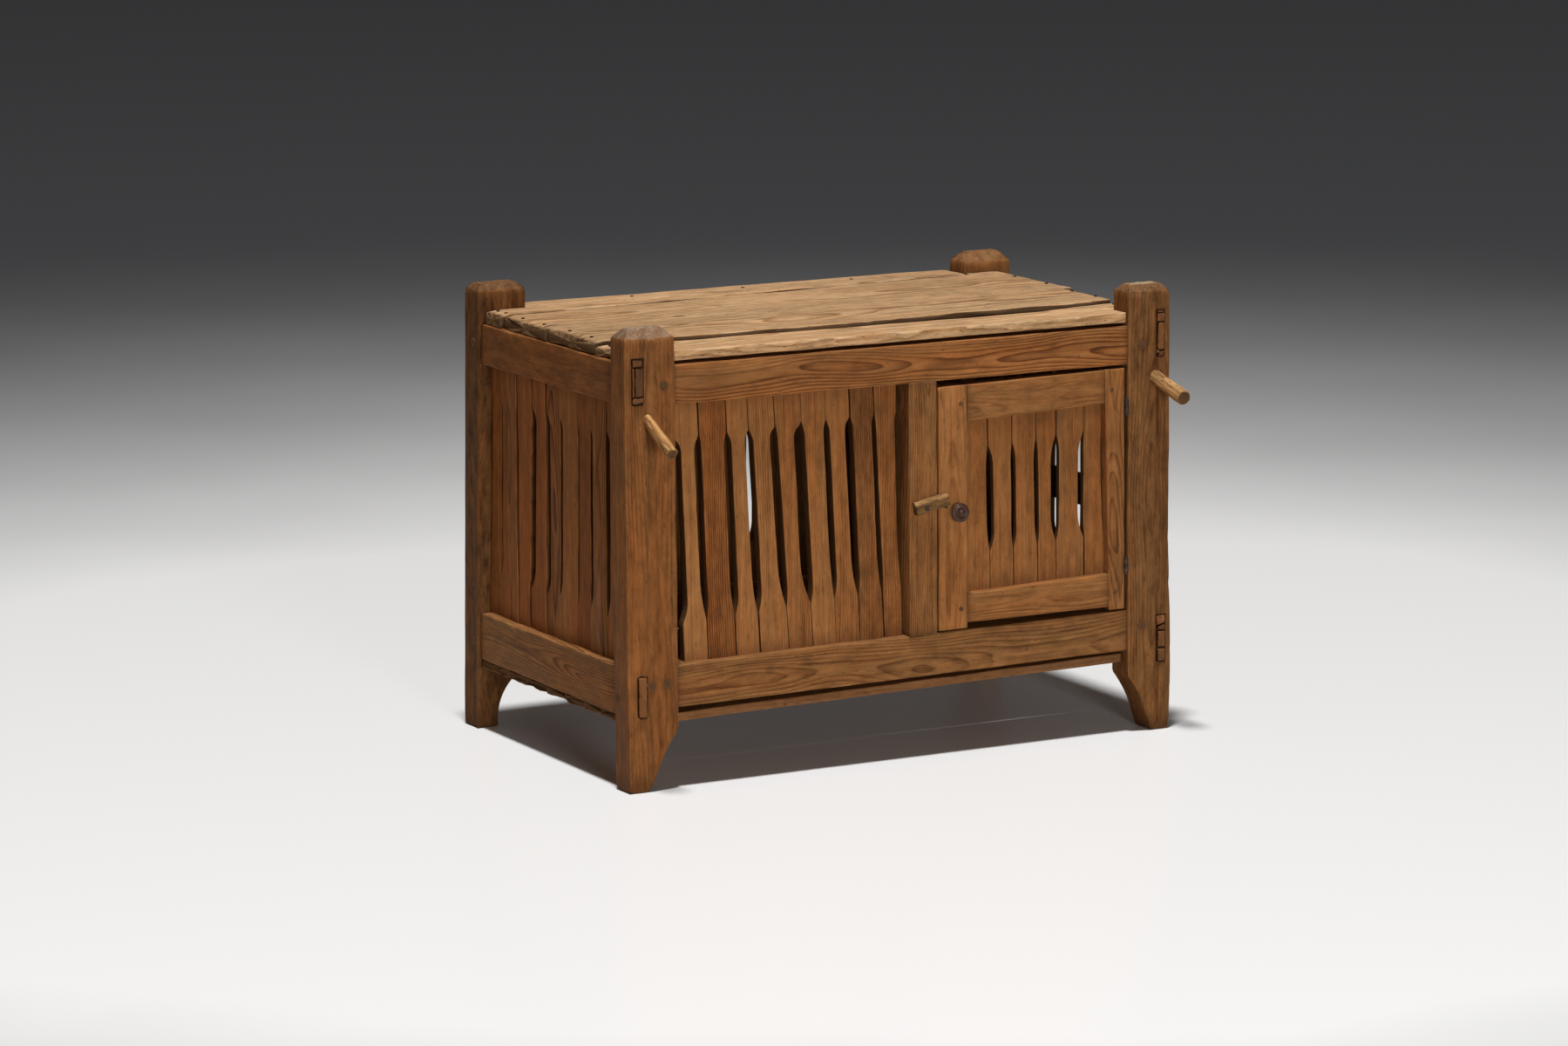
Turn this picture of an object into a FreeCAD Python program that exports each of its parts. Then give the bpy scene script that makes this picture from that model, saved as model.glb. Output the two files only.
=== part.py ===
import FreeCAD, Part
import math
import os
from collections import namedtuple
from FreeCAD import Vector

# A low slatted storage chest with one hinged door, in millimetres and degrees.
# X runs to the right, Y to the back and Z up. Every size is first laid out from the front left
# corner: X 0 is the left face of the front left post, Y 0 the front faces of the front posts and
# Z 0 the floor. The finished pieces are then moved so that the middle of the base is the origin.

# Overall sizes
width = 1005.0
depth = 593.0
post_height = 750.0
post_thick = 52.0
back_splay = 2.5

# Posts
front_left_post_width = 90.0
front_right_post_width = 80.0
back_left_post_width = 86.0
back_right_post_width = 90.0
back_right_overhang = 10.0
front_left_post_trim = 6.0
back_left_post_extra = 5.0
back_right_post_trim = 5.0
front_left_post_bevel = 15.0
front_right_post_bevel = 11.0
back_left_post_bevel = 10.5
back_right_post_bevel = 15.0
foot_rise = 98.0
foot_width = 40.0
front_right_foot_width = 36.0
foot_curve_share = (0.36, 0.47)
front_right_foot_curve_share = (0.36, 0.53)
back_left_foot_curve_share = (0.07, 0.48)
front_right_post_swell = 4.5
swell_top = 300.0

# Rails
rail_thick = 46.0
front_rail_recess = 3.0
side_rail_recess = 5.0
back_rail_recess = 4.0
upper_rail_drop = 66.0
upper_rail_height = 64.0
side_upper_rail_drop = 61.0
side_upper_rail_height = 67.0
lower_rail_bottom = 132.0
lower_rail_height = 69.0
lower_rail_rise = 8.0
back_lower_rail_bottom = 137.0
back_lower_rail_height = 66.0
left_lower_rail_bottom = 120.0
left_lower_rail_height = 80.0
right_lower_rail_bottom = 134.0
right_lower_rail_height = 71.0

# Tenons, dowels and wedges
tenon_thick = 16.0
tenon_shoulder = 8.0
blind_tenon_length = 38.0
long_tenon_length = 53.5
through_tenon_proud = 1.0
left_tenon_inset = 18.0
right_tenon_inset = 11.0
upper_tenon_drop = 6.0
upper_tenon_height = 43.0
left_lower_tenon_height = 66.0
left_lower_tenon_lift = 2.0
left_lower_tenon_round = 7.0
right_lower_tenon_height = 34.0
right_lower_tenon_lift = 6.0
wedge_length = 40.0
wedge_height = 15.0
tall_wedge_height = 22.0
wedge_taper_share = 0.6
dowel_radius = 6.8
dowel_depth = 40.0
side_dowel_depth = 36.0
dowel_proud = 0.8
left_dowel_inset = 20.0
right_dowel_inset = 27.0
second_dowel_inset = 48.0
lower_dowel_lift = 6.0
side_dowel_height = 151.0
side_upper_dowel_drop = 32.0
front_side_dowel_inset = 14.0
back_side_dowel_inset = 20.0

# Slatted panels
slat_bay_width = 421.0
slat_thick = 20.0
slat_recess = 20.0
side_slat_thick = 14.0
side_slat_inset = 22.0
housing_depth = 14.0
housing_fit = 0.3
housing_end_gap = 0.3
head_shoulder = 20.0
near_foot_shoulder = 34.0
far_foot_shoulder = 68.0
least_inset = 0.5
mullion_width = 52.0
mullion_thick = 46.0
mullion_tenon_length = 12.0

# Each row of a slat table holds the left and right edge of one slat at its top, its waist and its
# foot, as shares of the width of the opening at that height.
front_slat_shares = (
    (0.014, 0.113, 0.055, 0.113, 0.051, 0.151),
    (0.116, 0.231, 0.140, 0.239, 0.152, 0.271),
    (0.233, 0.324, 0.270, 0.332, 0.273, 0.373),
    (0.325, 0.437, 0.367, 0.443, 0.377, 0.498),
    (0.439, 0.552, 0.477, 0.543, 0.500, 0.602),
    (0.553, 0.656, 0.589, 0.669, 0.604, 0.703),
    (0.658, 0.761, 0.697, 0.764, 0.705, 0.809),
    (0.766, 0.869, 0.796, 0.878, 0.810, 0.912),
    (0.872, 0.971, 0.898, 0.972, 0.918, 0.996),
)
door_slat_shares = (
    (0.002, 0.176, 0.002, 0.172, 0.002, 0.193),
    (0.180, 0.351, 0.220, 0.344, 0.196, 0.357),
    (0.354, 0.524, 0.378, 0.510, 0.361, 0.531),
    (0.527, 0.674, 0.543, 0.630, 0.534, 0.656),
    (0.678, 0.875, 0.688, 0.824, 0.659, 0.854),
    (0.878, 0.998, 0.862, 0.990, 0.858, 0.998),
)
left_slat_shares = (
    (0.002, 0.119, 0.012, 0.103, 0.003, 0.130),
    (0.121, 0.236, 0.127, 0.222, 0.132, 0.246),
    (0.238, 0.333, 0.243, 0.328, 0.248, 0.347),
    (0.335, 0.467, 0.338, 0.445, 0.348, 0.475),
    (0.469, 0.573, 0.464, 0.544, 0.477, 0.566),
    (0.575, 0.673, 0.563, 0.648, 0.567, 0.692),
    (0.674, 0.788, 0.678, 0.777, 0.694, 0.770),
    (0.790, 0.921, 0.785, 0.901, 0.772, 0.918),
    (0.922, 0.998, 0.913, 0.991, 0.920, 0.998),
)
right_slat_shares = (
    (0.002, 0.129, 0.002, 0.118, 0.002, 0.126),
    (0.131, 0.249, 0.140, 0.238, 0.128, 0.251),
    (0.251, 0.375, 0.262, 0.349, 0.253, 0.377),
    (0.377, 0.526, 0.405, 0.500, 0.379, 0.522),
    (0.528, 0.651, 0.555, 0.640, 0.524, 0.648),
    (0.653, 0.764, 0.664, 0.752, 0.650, 0.766),
    (0.766, 0.882, 0.778, 0.872, 0.768, 0.885),
    (0.884, 0.998, 0.895, 0.998, 0.887, 0.998),
)
# The joints between the slats of the back, and how wide the slot at each joint is
back_joint_shares = (0.0, 0.064, 0.126, 0.190, 0.255, 0.317, 0.379, 0.439, 0.518, 0.598,
                     0.660, 0.710, 0.764, 0.822, 0.882, 0.942, 1.0)
back_slot_share = 0.011
wide_back_slot_share = 0.023
wide_back_slots = (8,)
hairline_share = 0.001

# Where the slots between slats end, as shares of the height of the opening. The second number of
# each pair is added in step with the distance along the panel.
front_slot_shares = ((0.145, 0.042), (0.858, 0.034))
door_slot_shares = ((0.215, 0.015), (0.820, 0.035))
side_slot_shares = ((0.160, 0.0), (0.870, 0.0))

# Batten inside the right panel
batten_bottom = 353.0
batten_height = 52.0
batten_thick = 16.0

# Top boards, from the front one to the back one
top_board_thicks = (17.0, 23.0, 22.0, 23.0)
top_front_inset = 4.0
top_back_overhang = 6.0
top_left_inset = 4.0
top_right_insets = (37.0, 34.0, 12.0)
notch_clearance = 1.5
top_edge_round = 6.0
# The joints between top boards: share of the width, share of the depth, gap in millimetres
top_joint_gap = 1.5
top_joint_shares = (
    ((0.0, 0.212), (0.15, 0.175), (0.50, 0.167), (0.69, 0.170), (0.90, 0.179), (1.0, 0.209)),
    ((0.0, 0.506), (0.06, 0.486), (0.34, 0.509), (0.61, 0.523), (0.81, 0.526), (1.0, 0.489)),
    ((0.0, 0.801), (0.25, 0.816), (0.60, 0.852), (0.926, 0.882)),
)
wide_joint_gap = 14.0
wide_joint_point = 3
nail_end_inset = 8.0

# Floor boards
floor_board_thick = 15.0
floor_front_inset = 18.0
floor_back_overhang = 2.0
floor_joint_gap = 2.0
floor_joint_shares = (0.265, 0.500, 0.745)

# Nails
nail_radius = 1.7
nail_head_radius = 3.0
nail_head_thick = 1.1
nail_sink = 0.3
nail_length = 48.0
short_nail_length = 26.0
nail_edge_share = 0.27
back_nail_shares = (0.25, 0.50, 0.75)
batten_nail_shares = (0.18, 0.40, 0.62, 0.85)

# Door
door_thick = 30.0
door_gap = 3.0
door_sill_gap = 3.5
door_head_gap_left = 10.0
door_head_gap_right = 5.0
door_rail_lift = 9.0
latch_stile_width = 53.0
hinge_stile_width_top = 38.0
hinge_stile_width_foot = 29.0
door_top_rail_heights = (60.0, 56.0)
door_bottom_rail_heights = (48.0, 55.0)
door_tenon_thick = 10.0
door_tenon_length = 22.0
door_tenon_shoulder = 9.0
door_slat_recess = 15.0
door_slat_thick = 12.0
door_housing_depth = 8.0
door_near_shoulder = 30.0
door_far_shoulder = 46.0
door_dowel_radius = 3.5
door_dowel_depth = 24.0
door_dowel_inset = 12.0

# Butt hinges
hinge_gap = 7.0
hinge_offset = 1.0
hinge_height = 26.0
hinge_knuckles = 5
barrel_radius = 3.4
hinge_pin_radius = 1.5
hinge_play = 0.05
knuckle_play = 0.15
leaf_thick = 1.4
leaf_width = 21.0
leaf_standoff = 0.3
pin_head_radius = 2.6
pin_head_height = 1.8
upper_hinge_drop = 69.5
lower_hinge_lift = 75.5
screw_radius = 1.5
screw_head_radius = 2.6
screw_length = 15.0
screw_share = 0.3
screw_reach_share = 0.62

# Knob, turned with rings
knob_radius = 16.0
knob_height = 22.0
knob_neck_radius = 6.5
knob_shank_radius = 5.0
knob_shank_length = 20.0
knob_inset = 32.0
knob_drop = 12.4
knob_rim_share = 0.36
knob_front_share = 0.72
knob_groove_share = 0.62
knob_boss_share = 0.40

# Turn latch, its pivot nail and the nail that it rests on
latch_height = 416.8
latch_tilt = 11.4
latch_tail = 19.0
latch_reach = 44.0
latch_tail_height = 16.5
latch_tip_height = 14.5
latch_bevel = 5.5
latch_thick = 12.0
latch_standoff = 0.4
latch_nail_radius = 1.8
latch_nail_depth = 28.0
latch_nail_head_radius = 4.0
latch_head_gap = 0.3
rest_nail_radius = 2.0
rest_nail_reach = 37.5
rest_nail_length = 18.0
rest_nail_proud = 9.0
rest_gap = 0.3

# Whittled hanging pegs
peg_root_depth = 30.0
peg_tip_bevel = 2.5
left_peg_reach = 85.0
left_peg_root_radius = 8.2
left_peg_tip_radius = 9.8
left_peg_angle = 26.6
left_peg_inset = 40.3
left_peg_drop = 22.4
right_peg_reach = 88.0
right_peg_root_radius = 11.0
right_peg_tip_radius = 12.8
right_peg_angle = 15.0
right_peg_inset = 27.3
right_peg_drop = 26.0

# One overrun serves every cut that runs past a face
overrun = 5.0

# Places that the sizes above give
mullion_left = front_left_post_width + slat_bay_width
mullion_right = mullion_left + mullion_width
right_post_left = width - front_right_post_width
back_right_outer = width + back_right_overhang
back_bay_left = back_left_post_width
back_bay_right = back_right_outer - back_right_post_width
upper_rail_top = post_height - upper_rail_drop
upper_rail_bottom = upper_rail_top - upper_rail_height
side_upper_rail_top = post_height - side_upper_rail_drop
side_upper_rail_bottom = side_upper_rail_top - side_upper_rail_height
left_lower_rail_top = left_lower_rail_bottom + left_lower_rail_height
right_lower_rail_top = right_lower_rail_bottom + right_lower_rail_height
back_lower_rail_top = back_lower_rail_bottom + back_lower_rail_height
left_rail_outer = side_rail_recess
left_rail_inner = left_rail_outer + rail_thick
right_rail_outer = width - side_rail_recess
right_rail_inner = right_rail_outer - rail_thick
front_rail_back = front_rail_recess + rail_thick
door_left = mullion_right + door_gap
door_right = right_post_left - hinge_gap
hinge_x = door_right + hinge_offset
hinge_y = -barrel_radius
splay = math.radians(back_splay)

NODES = {}


def mix(start, stop, share):
    """Value that lies a share of the way from start to stop"""
    return start + (stop - start) * share


def block(low, high):
    """Box between two corners"""
    size = high - low
    return Part.makeBox(size.x, size.y, size.z, low)


def front_space(u, depth_in, z):
    """Point of a panel that runs along X"""
    return Vector(u, depth_in, z)


def side_space(u, depth_in, z):
    """Point of a panel that runs along Y"""
    return Vector(depth_in, u, z)


def prism(points, near, far, to_space=front_space):
    """Solid with a flat outline in the plane of a panel, from one depth to another"""
    corners = [to_space(u, near, z) for u, z in points]
    face = Part.Face(Part.makePolygon(corners + corners[:1]))
    return face.extrude(to_space(0, far, 0) - to_space(0, near, 0))


def plan_prism(points, low, high):
    """Solid with a flat outline seen from above, from one height to another"""
    corners = [Vector(x, y, low) for x, y in points]
    face = Part.Face(Part.makePolygon(corners + corners[:1]))
    return face.extrude(Vector(0, 0, high - low))


def rod(start, direction, length, radius):
    """Round bar from a point along a direction"""
    return Part.makeCylinder(radius, length, start, direction)


def lean(shape):
    """Tips the upright back frame so that its feet stand further back than its tops"""
    leaned = shape.copy()
    leaned.rotate(Vector(0, depth, post_height), Vector(1, 0, 0), back_splay)
    return leaned


def back_face_y(z):
    """Y of the leaning back posts' front faces at a height"""
    rise = z - post_height + post_thick * math.sin(splay)
    return depth - post_thick * math.cos(splay) - rise * math.tan(splay)


def front_lower_rail_z(x, offset=0.0):
    """Height of the sloping lower front rail's underside, plus an offset, at a place along X"""
    run = (x - front_left_post_width) / (right_post_left - front_left_post_width)
    return lower_rail_bottom + lower_rail_rise * run + offset


def put(name, shape):
    """Keeps one piece, or one group of like pieces, under its name"""
    solids = shape.Solids
    NODES[name] = solids[0] if len(solids) == 1 else Part.makeCompound(solids)


def bore(name, cutter):
    """Cuts the seat of one piece out of another"""
    put(name, NODES[name].cut(cutter))


# Posts


def foot_profile(post_width, sole_width, height, curve_share, swell):
    """Outline of a post from the front, with the curved cut of its foot on the right, left long"""
    along, up = curve_share
    through = Vector(mix(sole_width, post_width, along), 0, foot_rise * up)
    curve = Part.Arc(Vector(post_width, 0, foot_rise), through, Vector(sole_width, 0, 0))
    swollen = [Vector(-swell, 0, foot_rise), Vector(0, 0, swell_top)] if swell else []
    corners = [
        Vector(sole_width, 0, 0),
        Vector(sole_width, 0, -post_thick),
        Vector(0, 0, -post_thick),
        *swollen,
        Vector(0, 0, height),
        Vector(post_width, 0, height),
        Vector(post_width, 0, foot_rise),
    ]
    sides = [Part.LineSegment(a, b).toShape() for a, b in zip(corners, corners[1:])]
    return Part.Wire([curve.toShape()] + sides)


def post(left, post_width, sole_width, front, height, bevel, foot_on_right, curve_share, swell=0):
    """Post with a bevelled top and a foot cut away on one side"""
    body = Part.Face(foot_profile(post_width, sole_width, height, curve_share, swell))
    body = body.extrude(Vector(0, post_thick, 0))
    top_edges = [e for e in body.Edges if min(v.Z for v in e.Vertexes) > height - overrun]
    body = body.makeChamfer(bevel, top_edges)
    if not foot_on_right:
        body = body.mirror(Vector(post_width / 2, 0, 0), Vector(1, 0, 0))
    body.translate(Vector(left, front, 0))
    return body


def stand_on_floor(shape):
    """Cuts a post that was left long level with the floor"""
    box = shape.BoundBox
    low = Vector(box.XMin - overrun, box.YMin - overrun, box.ZMin - overrun)
    return shape.cut(block(low, Vector(box.XMax + overrun, box.YMax + overrun, 0)))


def make_posts():
    back = depth - post_thick
    left = post(0, front_left_post_width, foot_width, 0,
                post_height - front_left_post_trim, front_left_post_bevel, True, foot_curve_share)
    right = post(right_post_left, front_right_post_width, front_right_foot_width, 0,
                 post_height, front_right_post_bevel, False, front_right_foot_curve_share,
                 front_right_post_swell)
    back_left = post(0, back_left_post_width, foot_width, back,
                     post_height + back_left_post_extra, back_left_post_bevel, True,
                     back_left_foot_curve_share)
    back_right = post(back_bay_right, back_right_post_width, foot_width, back,
                      post_height - back_right_post_trim, back_right_post_bevel, False,
                      foot_curve_share)
    put("front_left_post", stand_on_floor(left))
    put("front_right_post", stand_on_floor(right))
    put("back_left_post", stand_on_floor(lean(back_left)))
    put("back_right_post", stand_on_floor(lean(back_right)))


# Rails


def front_tenon(start, stop, bottom, top, front):
    """Tenon that runs along X from one place to another"""
    setback = (rail_thick - tenon_thick) / 2
    low = Vector(min(start, stop), front + setback, bottom + tenon_shoulder)
    return block(low, Vector(max(start, stop), low.y + tenon_thick, top - tenon_shoulder))


def make_front_rails():
    left, right = front_left_post_width, right_post_left
    upper = block(Vector(left, front_rail_recess, upper_rail_bottom),
                  Vector(right, front_rail_back, upper_rail_top))
    lower = prism([(left, front_lower_rail_z(left)), (right, front_lower_rail_z(right)),
                   (right, front_lower_rail_z(right, lower_rail_height)),
                   (left, front_lower_rail_z(left, lower_rail_height))],
                  front_rail_recess, front_rail_back)
    for start, reach in ((left, -blind_tenon_length), (right, blind_tenon_length)):
        upper = upper.fuse(front_tenon(start, start + reach, upper_rail_bottom, upper_rail_top,
                                       front_rail_recess))
    for start, reach in ((left, -long_tenon_length), (right, blind_tenon_length)):
        bottom = front_lower_rail_z(start)
        lower = lower.fuse(front_tenon(start, start + reach, bottom, bottom + lower_rail_height,
                                       front_rail_recess))
    put("front_upper_rail", upper)
    put("front_lower_rail", lower)


def make_back_rails():
    front = depth - back_rail_recess - rail_thick
    left, right = back_bay_left, back_bay_right
    levels = {"back_upper_rail": (side_upper_rail_top - upper_rail_height, side_upper_rail_top),
              "back_lower_rail": (back_lower_rail_bottom, back_lower_rail_top)}
    for name, (bottom, top) in levels.items():
        rail = block(Vector(left, front, bottom), Vector(right, front + rail_thick, top))
        for start, reach in ((left, -blind_tenon_length), (right, blind_tenon_length)):
            rail = rail.fuse(front_tenon(start, start + reach, bottom, top, front))
        put(name, lean(rail))


def edges_along(shape, direction):
    """Straight edges of a shape that run along a direction"""
    found = []
    for edge in shape.Edges:
        run = edge.Vertexes[-1].Point - edge.Vertexes[0].Point
        if run.Length and abs(run.dot(direction)) > run.Length / 2:
            found.append(edge)
    return found


def side_rail(inner, outer, bottom, top, tenon_left, tenon_bottom, tenon_height, tenon_round):
    """Side rail with a tenon through the front post and a blind one in the leaning back post"""
    body = prism([(post_thick, bottom), (back_face_y(bottom), bottom),
                  (back_face_y(top), top), (post_thick, top)],
                 min(inner, outer), max(inner, outer), side_space)
    tenon_top = tenon_bottom + tenon_height
    tenon_right = tenon_left + tenon_thick
    through = block(Vector(tenon_left, -through_tenon_proud, tenon_bottom),
                    Vector(tenon_right, post_thick, tenon_top))
    if tenon_round:
        through = through.makeFillet(tenon_round, edges_along(through, Vector(0, 1, 0)))
    back = back_face_y((bottom + top) / 2)
    blind = block(Vector(tenon_left, back - overrun, bottom + 2 * tenon_shoulder),
                  Vector(tenon_right, back + blind_tenon_length, top - 2 * tenon_shoulder))
    return body.fuse([through, blind]).removeSplitter()


def side_tenons():
    """Left edge, bottom, height and rounding of the through tenon of each side rail"""
    upper = side_upper_rail_top - upper_tenon_drop - upper_tenon_height
    right = width - right_tenon_inset - tenon_thick
    return {
        "left_upper_rail": (left_tenon_inset, upper, upper_tenon_height, 0),
        "left_lower_rail": (left_tenon_inset, left_lower_rail_bottom + left_lower_tenon_lift,
                            left_lower_tenon_height, left_lower_tenon_round),
        "right_upper_rail": (right, upper, upper_tenon_height, 0),
        "right_lower_rail": (right, right_lower_rail_bottom + right_lower_tenon_lift,
                             right_lower_tenon_height, 0),
    }


def make_side_rails():
    levels = {
        "left_upper_rail": (side_upper_rail_bottom, side_upper_rail_top),
        "left_lower_rail": (left_lower_rail_bottom, left_lower_rail_top),
        "right_upper_rail": (side_upper_rail_bottom, side_upper_rail_top),
        "right_lower_rail": (right_lower_rail_bottom, right_lower_rail_top),
    }
    for name, (bottom, top) in levels.items():
        on_left = name.startswith("left")
        inner = left_rail_inner if on_left else right_rail_inner
        outer = left_rail_outer if on_left else right_rail_outer
        put(name, side_rail(inner, outer, bottom, top, *side_tenons()[name]))


def make_mullion():
    stub = (mullion_width - tenon_thick) / 2
    back = front_rail_recess + mullion_thick
    foot = [(x, front_lower_rail_z(x, lower_rail_height)) for x in (mullion_left, mullion_right)]
    body = prism(foot + [(mullion_right, upper_rail_bottom), (mullion_left, upper_rail_bottom)],
                 0, back)
    front = (front_rail_recess + back - tenon_thick) / 2
    tenons = block(Vector(mullion_left + stub, front, foot[0][1] - mullion_tenon_length),
                   Vector(mullion_right - stub, front + tenon_thick,
                          upper_rail_bottom + mullion_tenon_length))
    put("front_mullion", body.fuse(tenons).removeSplitter())
    for rail in ("front_upper_rail", "front_lower_rail"):
        bore(rail, NODES["front_mullion"])


# Slatted panels

# shoulders holds, for the near and the far edge of a slat, how long the curves are by which the
# waist meets the paddle at the head and at the foot.
Panel = namedtuple("Panel", "near far sill head face thick housing shoulders slots to_space")


def edge_points(panel, shares, shoulders):
    """Points down one edge of a slat: paddle end, shoulder, waist, shoulder and paddle end"""
    top_share, waist_share, foot_share = shares
    middle = (panel.sill(panel.near(0)) + panel.head(panel.near(0))) / 2
    low, high = panel.sill(panel.near(middle)), panel.head(panel.near(middle))
    top_u = mix(panel.near(high), panel.far(high), top_share)
    foot_u = mix(panel.near(low), panel.far(low), foot_share)
    low, high = panel.sill(foot_u), panel.head(top_u)
    waist_u = mix(panel.near(middle), panel.far(middle), waist_share)
    inset = waist_u - (top_u + foot_u) / 2

    def place(z, share):
        return (mix(foot_u, top_u, (z - low) / (high - low)) + inset * share, z)

    reach = panel.housing - housing_end_gap
    ends = [place(high + reach, 0), place(low - reach, 0)]
    if abs(inset) < least_inset:
        return ends
    (foot_tip, foot_step), (head_tip, head_step) = panel.slots
    upper = mix(low, high, head_tip + head_step * top_share)
    lower = mix(low, high, foot_tip + foot_step * foot_share)
    steps = ((0, 0), (3 / 4, 1 / 2), (1, 1))
    head_reach, foot_reach = shoulders
    down = [place(upper - head_reach * fall, aside) for aside, fall in steps]
    out = [place(lower + foot_reach * fall, aside) for aside, fall in reversed(steps)]
    return ends[:1] + down + out + ends[1:]


def edge_curves(panel, points):
    """Lines and arcs through the points of one edge of a slat, at the face of the panel"""
    spots = [panel.to_space(u, panel.face, z) for u, z in points]
    if len(spots) == 2:
        return [Part.LineSegment(*spots)]
    return [Part.LineSegment(*spots[0:2]), Part.Arc(*spots[1:4]), Part.LineSegment(*spots[3:5]),
            Part.Arc(*spots[4:7]), Part.LineSegment(*spots[6:8])]


def slat(panel, row):
    """One waisted slat, whose ends sit in the grooves of the rails"""
    left = edge_points(panel, row[0::2], panel.shoulders[0])
    right = edge_points(panel, row[1::2], panel.shoulders[1])[::-1]
    curves = edge_curves(panel, left)
    curves += [Part.LineSegment(panel.to_space(left[-1][0], panel.face, left[-1][1]),
                                panel.to_space(right[0][0], panel.face, right[0][1]))]
    curves += edge_curves(panel, right)
    curves += [Part.LineSegment(panel.to_space(right[-1][0], panel.face, right[-1][1]),
                                panel.to_space(left[0][0], panel.face, left[0][1]))]
    face = Part.Face(Part.Wire([c.toShape() for c in curves]))
    return face.extrude(panel.to_space(0, panel.thick, 0))


def groove(panel, edge, inward):
    """Groove that houses the slats' ends: edge is sill or head, inward is -1 or 1"""
    near, far = (side(edge(panel.near(0))) for side in (panel.near, panel.far))
    floor = [(u, edge(u) + inward * panel.housing) for u in (near, far)]
    mouth = [(u, edge(u) - inward * overrun) for u in (far, near)]
    return prism(floor + mouth, panel.face - housing_fit, panel.face + panel.thick + housing_fit,
                 panel.to_space)


def panel_shoulders(far_foot):
    """Curves of the near and the far edges of the frame's slats"""
    return (head_shoulder, near_foot_shoulder), (head_shoulder, far_foot)


def front_panel():
    return Panel(
        near=lambda z: front_left_post_width, far=lambda z: mullion_left,
        sill=lambda x: front_lower_rail_z(x, lower_rail_height), head=lambda x: upper_rail_bottom,
        face=slat_recess, thick=slat_thick, housing=housing_depth,
        shoulders=panel_shoulders(far_foot_shoulder), slots=front_slot_shares, to_space=front_space)


def side_panel(face, sill):
    return Panel(
        near=lambda z: post_thick, far=back_face_y,
        sill=lambda y: sill, head=lambda y: side_upper_rail_bottom,
        face=face, thick=side_slat_thick, housing=housing_depth,
        shoulders=panel_shoulders(near_foot_shoulder), slots=side_slot_shares, to_space=side_space)


def back_panel():
    return Panel(
        near=lambda z: back_bay_left, far=lambda z: back_bay_right,
        sill=lambda x: back_lower_rail_top,
        head=lambda x: side_upper_rail_top - upper_rail_height,
        face=depth - slat_recess - slat_thick, thick=slat_thick, housing=housing_depth,
        shoulders=panel_shoulders(near_foot_shoulder), slots=side_slot_shares, to_space=front_space)


def back_slat_shares():
    """Rows of the back's slats, from the joints between them and the width of each slot"""
    rows = []
    last = len(back_joint_shares) - 1
    for index, (left, right) in enumerate(zip(back_joint_shares, back_joint_shares[1:])):
        slots = [wide_back_slot_share if joint in wide_back_slots else back_slot_share
                 for joint in (index, index + 1)]
        left_slot = 0 if index == 0 else slots[0] / 2
        right_slot = 0 if index + 1 == last else slots[1] / 2
        rows.append((left + hairline_share, right - hairline_share,
                     left + hairline_share + left_slot, right - hairline_share - right_slot,
                     left + hairline_share, right - hairline_share))
    return rows


def make_panels():
    panel = front_panel()
    for index, row in enumerate(front_slat_shares):
        put("front_slat_%d" % (index + 1), slat(panel, row))
    bore("front_upper_rail", groove(panel, panel.head, 1))
    bore("front_lower_rail", groove(panel, panel.sill, -1))
    left = side_panel(side_slat_inset, left_lower_rail_top)
    right = side_panel(width - side_slat_inset - side_slat_thick, right_lower_rail_top)
    for name, panel, rows in (("left", left, left_slat_shares), ("right", right, right_slat_shares)):
        put(name + "_slats", Part.makeCompound([slat(panel, row) for row in rows]))
        bore(name + "_upper_rail", groove(panel, panel.head, 1))
        bore(name + "_lower_rail", groove(panel, panel.sill, -1))
    panel = back_panel()
    rows = back_slat_shares()
    put("back_slats", Part.makeCompound([lean(slat(panel, row)) for row in rows]))
    bore("back_upper_rail", lean(groove(panel, panel.head, 1)))
    bore("back_lower_rail", lean(groove(panel, panel.sill, -1)))


def make_batten():
    outer = width - side_slat_inset - side_slat_thick
    top = batten_bottom + batten_height
    shape = prism([(post_thick, batten_bottom), (back_face_y(batten_bottom), batten_bottom),
                   (back_face_y(top), top), (post_thick, top)],
                  outer - batten_thick, outer, side_space)
    put("right_inner_batten", shape)


# Top and floor


def joint_line(index, gap_share):
    """Points along the joint between two top boards, from left to right, on one side of its gap"""
    points = []
    left, right = top_left_inset, width - top_right_insets[index]
    for place, (along, across) in enumerate(top_joint_shares[index]):
        wide = index == 0 and place == wide_joint_point
        gap = wide_joint_gap if wide else top_joint_gap
        x = mix(left, right, along)
        points.append((x, depth * across + gap * gap_share))
    return points


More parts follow.
